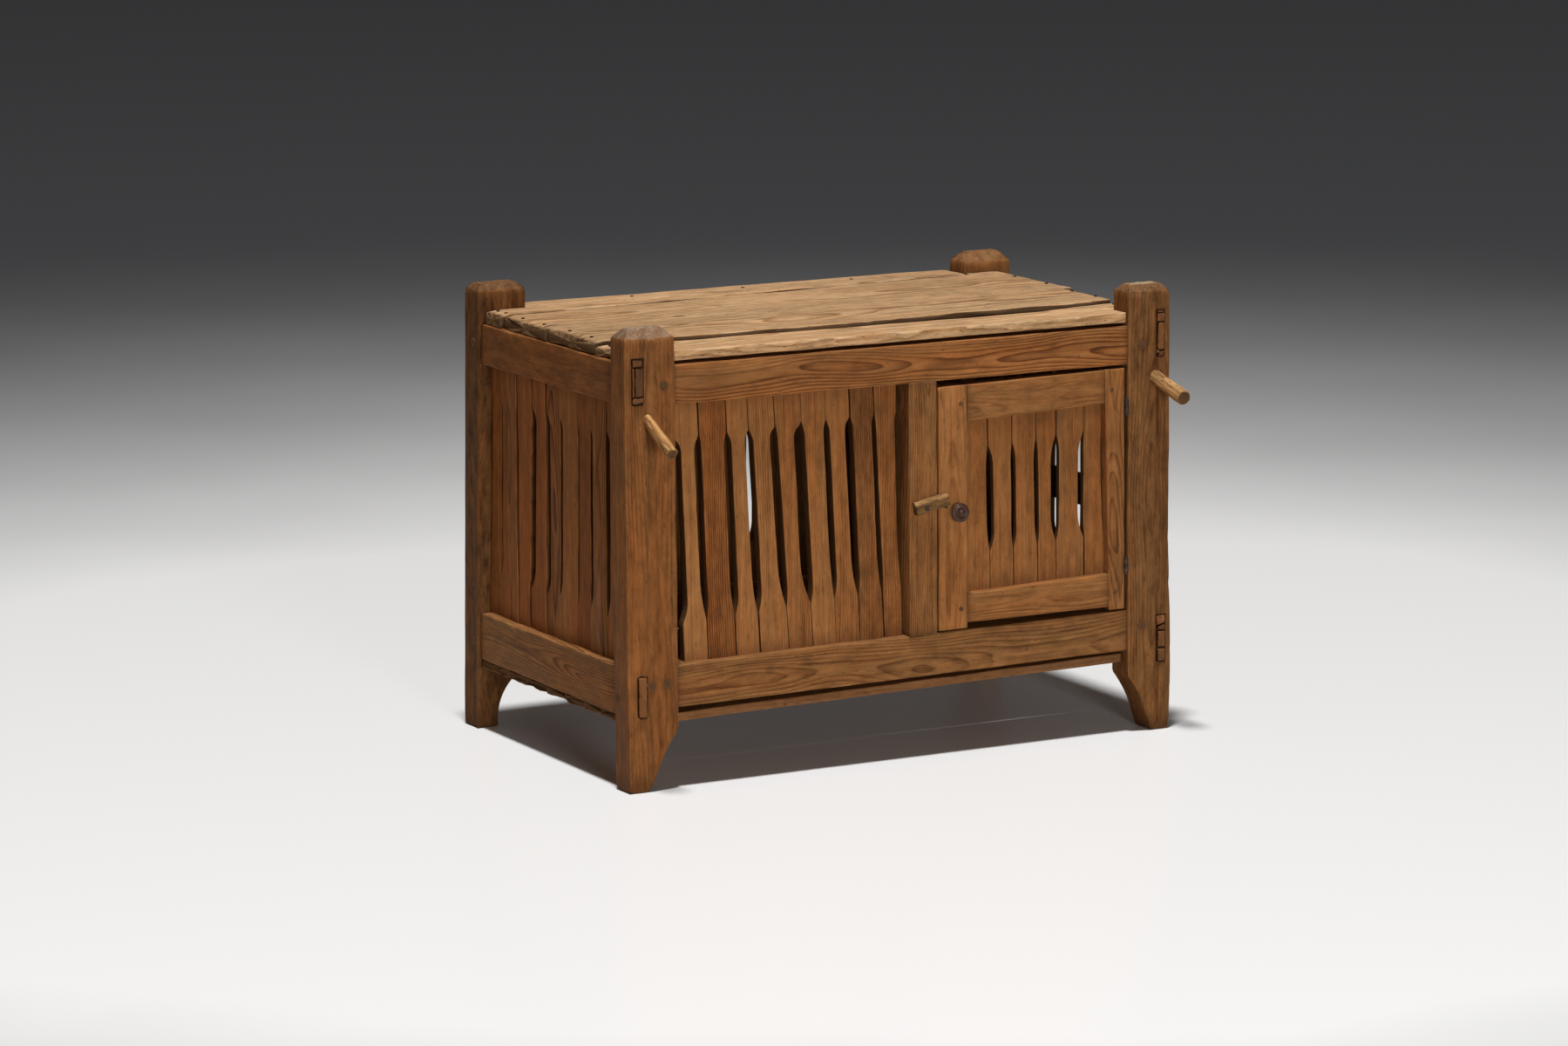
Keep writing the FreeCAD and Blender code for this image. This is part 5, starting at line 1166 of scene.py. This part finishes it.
class CHEST_OT_latch(ChestOperator, bpy.types.Operator):
    """Wooden turn latch with its sloping top, split along the grain"""
    bl_idname = "chest.latch"
    bl_label = "Turn latch"

    def build(self, scene):
        seed = scene.chest_wear.seed + 60
        corners, solids = solids_of("turn_latch")
        pivot, tilt = at(*LATCH_PLACE), math.radians(LATCH_SLOPE)
        turn = np.array([[math.cos(tilt), 0, math.sin(tilt)], [0, 1, 0],
                         [-math.sin(tilt), 0, math.cos(tilt)]])
        level = (corners - pivot) @ turn.T
        low, high = level[:, X].min(), level[:, X].max()
        rims = np.array([0, 0.2, 0.6, 1.3]) * MM
        stations = np.concatenate([low + rims, np.linspace(low + 2 * MM, high - 2 * MM, 34),
                                   high - rims[::-1]])
        lows, highs = limits_along(level, solids[0], X,
                                   np.clip(stations, low + 0.3 * MM, high - 0.3 * MM))
        outline = soft_outline(LATCH_OUTLINE, 0.09, 64)
        draw = np.interp(np.minimum(stations - low, high - stations), rims,
                         np.array([1.1, 0.6, 0.25, 0.0]) * MM)
        rings = np.empty((len(stations), len(outline), 3))
        rings[..., X] = stations[:, None]
        for axis, spots in ((Y, outline[:, 0]), (Z, outline[:, 1])):
            start = lows[:, axis] + draw
            rings[..., axis] = start[:, None] + spots * (highs[:, axis] - draw - start)[:, None]
        front = (outline[:, 0] < 0.12) * 1.0
        split = np.clip(ripple(rings * np.array([0.25, 0, 3.2]), seed, 0.018), 0, 1) ** 2
        rings[..., Y] += 1.1 * MM * split * front
        rings[..., Z] += 0.35 * MM * ripple(rings, seed + 1, 0.012)
        grain = rings + np.array([seed, 0.012, 0.0])
        # The sloping top takes the arris channel: paler wood painted as a highlight where the lamp
        # above falls on it. The lower part is darker.
        slope = (outline[:, 1] > 0.74) * (outline[:, 0] < 0.5) * 1.0
        part = closed_part(rings @ turn + pivot, grain, arris=1.2 * slope, ends=(1.0, 0.4),
                           grime_and_shade=0.35 * (1 - slope) * (outline[:, 1] < 0.3))
        whole_piece("turn_latch_wood", [part], [(-2.6, 0.4, 1.0)], wood("aged_peg"), "latch",
                    ["turn_latch"])


# Place of the knob's axis, and its profile: how far out of the door and radius, in millimetres
KNOB_PLACE = (598, 0, 404.4)
KNOB_PROFILE = ((-20.0, 5.6), (-0.5, 6.0), (0.0, 7.6), (1.2, 8.0), (2.0, 7.0), (4.5, 6.2),
                (7.0, 7.0), (9.5, 10.2), (11.5, 14.2), (12.6, 15.6), (13.8, 16.0), (15.2, 15.9),
                (16.4, 15.1), (17.0, 13.9), (16.9, 13.2), (17.3, 12.6), (18.4, 12.0), (19.2, 11.0),
                (19.4, 9.8), (18.8, 8.8), (18.0, 7.6), (17.9, 6.4), (18.6, 5.6), (19.9, 5.2),
                (21.2, 4.4), (21.9, 3.0), (22.0, 1.6))


class CHEST_OT_knob(ChestOperator, bpy.types.Operator):
    """Turned knob with a rim, a bead and a boss"""
    bl_idname = "chest.knob"
    bl_label = "Door knob"

    def build(self, scene):
        profile = np.array(KNOB_PROFILE)
        run = np.concatenate([[0], np.cumsum(np.linalg.norm(np.diff(profile, axis=0), axis=1))])
        fine = np.linspace(0, run[-1], 110)
        out, radius = (np.interp(fine, run, profile[:, k]) for k in (0, 1))
        angle = np.linspace(0, 2 * np.pi, 72, endpoint=False)
        uneven = 1 + 0.012 * np.cos(2 * angle + 0.7) + 0.006 * np.cos(5 * angle)
        radius = radius[:, None] * uneven * MM
        rings = np.stack([radius * np.cos(angle), -out[:, None] * MM + 0 * radius,
                          radius * np.sin(angle)], axis=-1) + at(*KNOB_PLACE)
        whole_piece("door_knob_wood", [closed_part(rings, rings)], [(0, 0, 1)],
                    turned_wood(), "door", ["door_knob"])


# Places in millimetres from the front left corner: the inner sides of the left and right posts in
# front and behind, the back faces of the front posts, the top and bottom of the mullion, and the
# back posts' front face at the top of the posts, from where they lean back by an angle in degrees
POST_SIDE, BACK_POST_SIDE, FAR_POST_SIDE, POST_BACK = 90, 86, 925, 52
MULLION_BOTTOM, MULLION_TOP = 205, 620
BACK_POST_FRONT, POST_TOP, LEAN = 541, 750, 2.5


class CHEST_OT_front_rails(ChestOperator, bpy.types.Operator):
    """Upper and lower rail of the front, and the mullion between them"""
    bl_idname = "chest.front_rails"
    bl_label = "Front rails"

    def build(self, scene):
        upper, lower = (smudges(spots) for spots in FRONT_RAIL_SMUDGES)
        span = (on(X, POST_SIDE), on(X, FAR_POST_SIDE))
        bar_piece("front_upper_rail", X, Z, Y, (0.5, 0.3, 1.1), wood("figured_frame"), span=span,
                  seed=200, pith=(0.0, 0.040), counts=(9, 3), reshape=upper)
        bar_piece("front_lower_rail", X, Z, Y, (-0.3, -0.3, 0.9), wood("aged_frame"), span=span,
                  seed=210, counts=(9, 3), reshape=lower)
        bar_piece("front_mullion", Z, X, Y, (-0.3, 0.0, 1.0), wood("aged_frame"),
                  span=(on(Z, MULLION_BOTTOM), on(Z, MULLION_TOP)), seed=220, counts=(4, 3))


class CHEST_OT_side_rails(ChestOperator, bpy.types.Operator):
    """Upper and lower rails of the two sides, between the posts"""
    bl_idname = "chest.side_rails"
    bl_label = "Side rails"

    def build(self, scene):
        looks = {"left_upper_rail": (-1.2, 0.8, 0.35), "left_lower_rail": (-0.1, -0.3, 1.2),
                 "right_upper_rail": (-0.1, 0.2, 0.8), "right_lower_rail": (-0.15, 0.3, 0.9)}
        for index, (node, look) in enumerate(looks.items()):
            middle = sum(corner.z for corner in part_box(node)) / 2 / MM
            back = BACK_POST_FRONT + (POST_TOP - middle) * math.tan(math.radians(LEAN))
            bar_piece(node, Y, Z, X, look, wood("aged_frame"),
                      span=(on(Y, POST_BACK), on(Y, back)), buries=(2 * MM, 4 * MM),
                      seed=300 + index * 10, counts=(7, 3))


class CHEST_OT_back_rails(ChestOperator, bpy.types.Operator):
    """Upper and lower rail of the back, which leans with its posts"""
    bl_idname = "chest.back_rails"
    bl_label = "Back rails"

    def build(self, scene):
        span = (on(X, BACK_POST_SIDE), on(X, FAR_POST_SIDE))
        for index, node in enumerate(("back_upper_rail", "back_lower_rail")):
            bar_piece(node, X, Z, Y, (-0.2, 0.1, 0.8), wood("aged_frame"), span=span,
                      seed=400 + index * 10, counts=(5, 3))


def single_slats(prefix, looks, body, seed):
    """Pieces over slats that have a node each, one for each look"""
    for index, look in enumerate(looks):
        slat_group("%s_%d" % (prefix, index + 1), [look], body, seed + index * 17)


# Finish of the single slats, from left to right
FRONT_LOOKS = ((0.9, -0.2, 0.6), (-0.8, 1.0, 1.3), (0.3, 0.0, 0.6), (0.2, 0.1, 0.8),
               (-0.1, 0.3, 0.7), (0.5, -0.1, 0.6), (0.0, 0.2, 0.7), (-1.1, 0.5, 0.8),
               (-0.6, 0.6, 0.9))
DOOR_LOOKS = ((-0.05, 0.2, 0.4), (0.05, 0.1, 0.5), (0.0, 0.2, 0.5), (-0.1, 0.35, 0.6),
              (-0.2, -0.2, 0.5), (-0.05, 0.3, 0.6))

# Panels of many slats: their number, the directions across and through a slat, tone, warmth and
# the sway in millimetres
PANELS = {"left_slats": (9, Y, X, 0.4, 0.8, 1.6), "right_slats": (8, Y, X, 0, 0, 0.3),
          "back_slats": (16, X, Y, 0, 0, 1.2)}


class CHEST_OT_slats(ChestOperator, bpy.types.Operator):
    """Waisted slats of the front, the sides and the back"""
    bl_idname = "chest.slats"
    bl_label = "Slats"

    def build(self, scene):
        single_slats("front_slat", FRONT_LOOKS, "carcass", 500)
        rng = np.random.default_rng(scene.chest_wear.seed)
        for index, (node, row) in enumerate(PANELS.items()):
            count, wide, deep, tone, warmth, sway = row
            looks = [tuple(rng.uniform((tone - 0.7, warmth - 0.9, 0.8),
                                       (tone + 0.9, warmth + 0.5, 1.7))) for _ in range(count)]
            slat_group(node, looks, "carcass", 700 + index * 300, wide, deep, sway * MM)


class CHEST_OT_batten(ChestOperator, bpy.types.Operator):
    """Batten nailed across the inside of the right panel"""
    bl_idname = "chest.batten"
    bl_label = "Inner batten"

    def build(self, scene):
        bar_piece("right_inner_batten", Y, Z, X, (-0.5, 0.0, 0.8), wood("aged_floor"),
                  slot="floor_wood", seed=1500, rounds=(1 * MM, 1 * MM), buries=(0, 0))


def beside(places):
    """Stations half a millimetre at each side of places in X"""
    return [on(X, x + side) for x in places for side in (-0.5, 0.5)]


# Ends of the notches round the posts, in the top and in the floor boards, in millimetres
TOP_NOTCHES = (91.5, 87.5, 923.5, 922.0)
FLOOR_NOTCHES = (91.5, 87.5, 923.5)

# Finish of the top boards, from front to back
TOP_LOOKS = ((1.1, 0.0, 1.0), (0.1, 0.0, 1.2), (0.05, 0.05, 1.3), (0.1, 0.1, 1.2))

# Old stains on the top: X, Y, width, depth and amount, all but the last in millimetres
TOP_STAINS = ((215, 515, 55, 12, 0.9), (322, 500, 14, 16, 0.8), (372, 400, 9, 16, 0.8),
              (800, 560, 45, 14, 0.8), (560, 380, 70, 7, 0.5), (130, 420, 40, 8, 0.5),
              (450, 545, 70, 9, 0.5), (640, 470, 60, 8, 0.6), (700, 260, 80, 7, 0.4),
              (300, 240, 70, 9, 0.4), (880, 430, 40, 20, 0.5), (940, 330, 25, 20, 0.6),
              (60, 560, 14, 20, 0.5), (480, 90, 60, 8, 0.4), (250, 60, 40, 8, 0.5))


class CHEST_OT_top(ChestOperator, bpy.types.Operator):
    """Four scrubbed top boards with broken ends and worn edges"""
    bl_idname = "chest.top"
    bl_label = "Top boards"

    def build(self, scene):
        wear = scene.chest_wear
        for index, look in enumerate(TOP_LOOKS):
            node = "top_board_%d" % (index + 1)
            low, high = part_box(node)

            def broken(points, normal, worn, low=low, high=high, seed=wear.seed * 100 + index,
                       first=index == 0, last=index == 3):
                """Slopes the ends back from the underside to the top, most in the middle of the
                board, with teeth from the absolute value of a ripple, lets the top of the ends
                sink, and adds the old stains. The sides that face a neighbour are drawn in and
                darkened as painted shade in the seams. The first board's free edge is lumpy, rubbed
                above and darker towards its foot, and along its back edge a length of it has sunk
                by 6 mm and come forward by 4 mm."""
                span_y = (high.y - low.y) / 2
                across = np.clip((points[..., Y] - low.y - span_y) / span_y, -1, 1)
                height = np.clip((points[..., Z] - low.z) / (high.z - low.z), 0, 1)
                place = points * np.array([0.0, 1.0, 0.3])
                teeth = 0.6 * np.abs(ripple(place, seed, 0.080))
                teeth = teeth + 0.25 * np.abs(ripple(place, seed + 5, 0.024))
                slope = (0.15 + 0.45 * (1 - across ** 2) + 0.45 * height ** 3) * wear.end_wear
                left = 1 - smooth(points[..., X], low.x, low.x + 0.045)
                right = smooth(points[..., X], high.x - 0.030, high.x)
                bite = slope + teeth * wear.end_wear * 0.6
                points[..., X] += bite * left - 0.25 * bite * right
                top = (normal[:, 1] > 0.3)[None, :]
                drop = left ** 3 * (2.0 + 1.5 * ripple(points, seed + 9, 0.03)) + 0.8 * right ** 3
                points[..., Z] -= drop * MM * top
                raise_to(worn, DIRT_AND_SHADE, 0.9 * left ** 3 * (1 - height))
                raise_to(worn, END, 0.9 * smooth(left, 0.97, 1.0))
                patchy = smooth(ripple(points, seed + 30, 0.030), -0.9, 0.6) * top
                for x, y, wide, deep, amount in TOP_STAINS:
                    spot = bell(points, at(x, y, 0), (wide, deep), (X, Y))
                    raise_to(worn, DIRT_AND_SHADE, amount * patchy * spot)
                run = (points[..., X] - CORNER[X]) / MM
                for way, joined, opened in (
                        (-1, not first, 0.8 + 0.6 * smooth(-run, -500, -200) * (not last)),
                        (1, not last, 0.8 + 2.6 * smooth(run, 780, 900) * (not first))):
                    if joined:
                        side = (way * normal[:, 0] > 0.5)[None, :]
                        points[..., Y] -= way * opened * MM * side
                        # Painted shade in the seam between neighbouring boards
                        raise_to(worn, DIRT_AND_SHADE, 1.5 * side)
                if first:
                    sunk = smooth(run, 540, 760) * (1 - smooth(run, 790, 880))
                    points[..., Z] -= 6 * MM * sunk * smooth(across, 0.3, 1.0) * (height > 0.5)
                    points[..., Y] -= 4 * MM * sunk * smooth(across, 0.7, 1.0)
                    edge = (normal[:, 0] < -0.5)[None, :]
                    lumps = ripple(points, seed + 20, 0.07) + 0.5 * ripple(points, seed + 21, 0.022)
                    points[..., Y] += np.clip(1.0 + 1.3 * lumps, 0, 4) * MM * edge
                    below = edge * (1 - smooth(height, 0.15, 0.75)) * smooth(lumps, -0.5, 0.6)
                    # Darker towards the foot of the free edge
                    raise_to(worn, DIRT_AND_SHADE, 0.22 * below)
                    rubbed = (normal[:, 0] < -0.15)[None, :] * smooth(height, 0.65, 0.9)
                    raise_to(worn, ARRIS_AND_HIGHLIGHT, 0.9 * rubbed)

            bar_piece(node, X, Y, Z, look, wood("aged_top"), slot="top_wood",
                      seed=1600 + index * 10, rounds=(2.5 * MM, 3 * MM), buries=(0, 0),
                      arris=wear.board_arris * (1.5 if index == 0 else 1.0),
                      uneven=wear.uneven * 1.3, counts=(17, 3), extra=beside(TOP_NOTCHES),
                      reshape=broken, pith=(0.01 * index - 0.015, 0.05 + 0.01 * index))


class CHEST_OT_floor(ChestOperator, bpy.types.Operator):
    """Four floor boards with ragged ends"""
    bl_idname = "chest.floor"
    bl_label = "Floor boards"

    def build(self, scene):
        wear = scene.chest_wear
        corners, solids = solids_of("floor_boards")
        solids.sort(key=lambda solid: corners[solid.ravel(), Y].mean())
        parts = []
        for index, solid in enumerate(solids):
            low, high = corners[solid.ravel(), X].min(), corners[solid.ravel(), X].max()

            def ragged(points, normal, worn, low=low, high=high, seed=wear.seed * 50 + index):
                """Torn ends: a ripple across the board draws them back by up to 14 mm, and
                another lifts and lowers the underside"""
                place = points * np.array([0.0, 1.0, 0.4])
                near = 1 - smooth(points[..., X], low, low + 0.05)
                far = smooth(points[..., X], high - 0.05, high)
                bite = np.abs(ripple(place, seed, 0.08))
                bite = bite + 0.4 * np.abs(ripple(place, seed + 1, 0.030))
                points[..., X] += (near - far) * bite * 6 * MM
                under = (normal[:, 1] < -0.3)[None, :]
                points[..., Z] += 2.5 * MM * under * near * np.abs(ripple(place, seed + 2, 0.045))
                raise_to(worn, DIRT_AND_SHADE, 0.6 * near)

            parts.append(bar_on(corners, solid, X, Y, Z, (low, high),
                                wear.seed * 1000 + 1700 + index * 10, wear.arris,
                                wear.uneven * 1.4, (2 * MM, 2 * MM), (0, 0), wear.step,
                                counts=(11, 2), extra=beside(FLOOR_NOTCHES), reshape=ragged))
        whole_piece("floor_boards_wood", parts, [(0.0, 0.4, 0.8)] * len(parts), wood("aged_floor"),
                    "carcass", ["floor_boards"])


# Members of the door's frame: axis, direction across the front, first and last place along the
# axis in millimetres where it isn't the solid's own, seed, finish and radius of the ends in
# millimetres, or None for that of a joint
DOOR_FRAME = {
    "door_latch_stile": (Z, X, None, 1800, (0.7, 0.1, 0.5), 1.2),
    "door_hinge_stile": (Z, X, None, 1810, (0.0, 0.1, 0.9), 1.2),
    "door_top_rail": (X, Z, (619, 880), 1830, (0.05, 0.0, 0.9), None),
    "door_bottom_rail": (X, Z, (619, 888), 1840, (0.05, 0.1, 1.0), None),
}


class CHEST_OT_door(ChestOperator, bpy.types.Operator):
    """Frame of the door and its six slats"""
    bl_idname = "chest.door"
    bl_label = "Door"

    def build(self, scene):
        wear = scene.chest_wear
        for node, (axis, wide, limits, seed, look, end) in DOOR_FRAME.items():
            bar_piece(node, axis, wide, Y, look, wood("aged_frame"), body="door", seed=seed,
                      span=limits and [on(X, x) for x in limits],
                      rounds=end and (end * MM, end * MM), buries=end and (0, 0),
                      arris=wear.slat_arris, counts=(4, 2), uneven=wear.uneven * 0.6)
        single_slats("door_slat", DOOR_LOOKS, "door", 1900)


class CHEST_OT_irons(ChestOperator, bpy.types.Operator):
    """Finish of the hinges, pins, screws and nails, whose CAD shapes stay"""
    bl_idname = "chest.irons"
    bl_label = "Irons"

    def build(self, scene):
        iron = forged_iron()
        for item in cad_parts.values():
            if not item.hide_render:
                item.data.materials.clear()
                item.data.materials.append(iron)


# The camera's place in millimetres from the front left corner, and its turn, fall and roll in
# degrees
CAMERA_PLACE = (-3824.60, -7759.46, 1978.85)
CAMERA_TURN = (-27.885, 10.108, -0.449)

# Size and place of each lamp's disk in metres, and the point that the lamps face
LAMPS = {"key": (1.4, (-1.4, -2.1, 16.0)), "fill": (2.2, (-1.6, -8.8, 1.10))}
FACED = Vector((0, 0, 0.4))

# Half the side of the floor in metres, and the distances between which its camera colour fades from
# pale to the backdrop grey, painted shade where the studio light falls off
FLOOR_REACH, FADE_START, FADE_END = 30.0, 2.2, 7.5


class CHEST_OT_stage(ChestOperator, bpy.types.Operator):
    """Camera, lamp, even light and the pale floor"""
    bl_idname = "chest.stage"
    bl_label = "Stage"

    def build(self, scene):
        stage = scene.chest_stage
        lens = bpy.data.cameras.new("camera")
        lens.lens, lens.sensor_width, lens.sensor_fit = stage.lens, 36.0, "HORIZONTAL"
        lens.clip_end = 100.0
        eye = placed("camera", lens)
        yaw, pitch, roll = np.radians(CAMERA_TURN)
        forward = np.array([-math.sin(yaw) * math.cos(pitch), math.cos(yaw) * math.cos(pitch),
                            -math.sin(pitch)])
        right = np.cross(forward, [0, 0, 1])
        right /= np.linalg.norm(right)
        up = np.cross(right, forward)
        across = right * math.cos(roll) + up * math.sin(roll)
        above = -right * math.sin(roll) + up * math.cos(roll)
        turn = np.eye(4)
        turn[:3] = np.stack([across, above, -forward, at(*CAMERA_PLACE)], axis=1)
        eye.matrix_world = Matrix(turn.tolist())
        scene.camera = eye

        for name, (size, spot) in LAMPS.items():
            lamp = bpy.data.lights.new(name, "AREA")
            lamp.shape, lamp.size, lamp.energy = "DISK", size, getattr(stage, name)
            holder = placed(name, lamp)
            holder.location = spot
            holder.rotation_euler = (FACED - holder.location).to_track_quat("-Z", "Y").to_euler()
            holder.visible_camera = False

        world = bpy.data.worlds.new("studio")
        scene.world = world
        world.use_nodes = True
        world.node_tree.nodes.clear()
        g = Graph(world.node_tree)
        inputs = {0: g.seen()}
        for place, tint, strength in ((1, stage.warmth, stage.world), (2, stage.backdrop, 1.0)):
            shade = g.add("ShaderNodeBackground", {"Color": opaque(tint), "Strength": strength})
            inputs[place] = shade.outputs[0]
        mixed = g.add("ShaderNodeMixShader", inputs)
        g.add("ShaderNodeOutputWorld", {"Surface": mixed.outputs[0]})

        material, g, shader = shader_material("studio_floor")
        place = g.add("ShaderNodeTexCoord").outputs["Object"]
        away = g.vector("LENGTH", g.scaled(place, (1.0, 1.0, 0.0))).outputs["Value"]
        away = g.plus(away, g.times(g.noise(place, (0.8, 0.8, 0.8), 4.0), 0.6))
        # Painted fall-off of the light: the floor's camera colour darkens to the backdrop grey with
        # distance
        pale = g.math("POWER", g.ranged(away, FADE_START, FADE_END, 1.0, 0.0, "LINEAR"), 2.4)
        shown = g.blend(pale, opaque(stage.backdrop), opaque(stage.floor))
        g.put(shader, {"Base Color": g.blend(g.seen(), opaque(stage.bounce), shown),
                       "Roughness": 0.28, "Specular IOR Level": 0.5})
        mesh = bpy.data.meshes.new("floor")
        corners = np.array([[-1, -1, 0], [1, -1, 0], [1, 1, 0], [-1, 1, 0]]) * FLOOR_REACH
        mesh.from_pydata(corners, [], [[0, 1, 2, 3]])
        mesh.materials.append(material)
        floor = placed("floor", mesh)
        scene.view_settings.view_transform = "Standard"


STEPS = (CHEST_OT_posts, CHEST_OT_tenon_blocks, CHEST_OT_dowels, CHEST_OT_pegs,
         CHEST_OT_front_rails, CHEST_OT_side_rails, CHEST_OT_back_rails, CHEST_OT_slats,
         CHEST_OT_batten, CHEST_OT_top, CHEST_OT_floor, CHEST_OT_door, CHEST_OT_latch,
         CHEST_OT_knob, CHEST_OT_irons, CHEST_OT_stage)


class CHEST_PT_panel(bpy.types.Panel):
    """Lists the steps of the build"""
    bl_idname = "CHEST_PT_panel"
    bl_label = "Slatted storage chest"
    bl_space_type = "VIEW_3D"
    bl_region_type = "UI"
    bl_category = "Chest"

    def draw(self, context):
        for step in STEPS:
            self.layout.operator(step.bl_idname)


CLASSES = (ChestColours, ChestWear, ChestStage) + STEPS + (CHEST_PT_panel,)


def register():
    for item in CLASSES:
        bpy.utils.register_class(item)
    bpy.types.Scene.chest_colours = PointerProperty(type=ChestColours)
    bpy.types.Scene.chest_wear = PointerProperty(type=ChestWear)
    bpy.types.Scene.chest_stage = PointerProperty(type=ChestStage)


def unregister():
    del bpy.types.Scene.chest_stage
    del bpy.types.Scene.chest_wear
    del bpy.types.Scene.chest_colours
    for item in reversed(CLASSES):
        bpy.utils.unregister_class(item)


def main():
    register()
    for step in STEPS:
        family, action = step.bl_idname.split(".")
        if getattr(getattr(bpy.ops, family), action)() != {"FINISHED"}:
            raise RuntimeError(step.bl_idname + " did not finish")


if __name__ == "__main__":
    main()
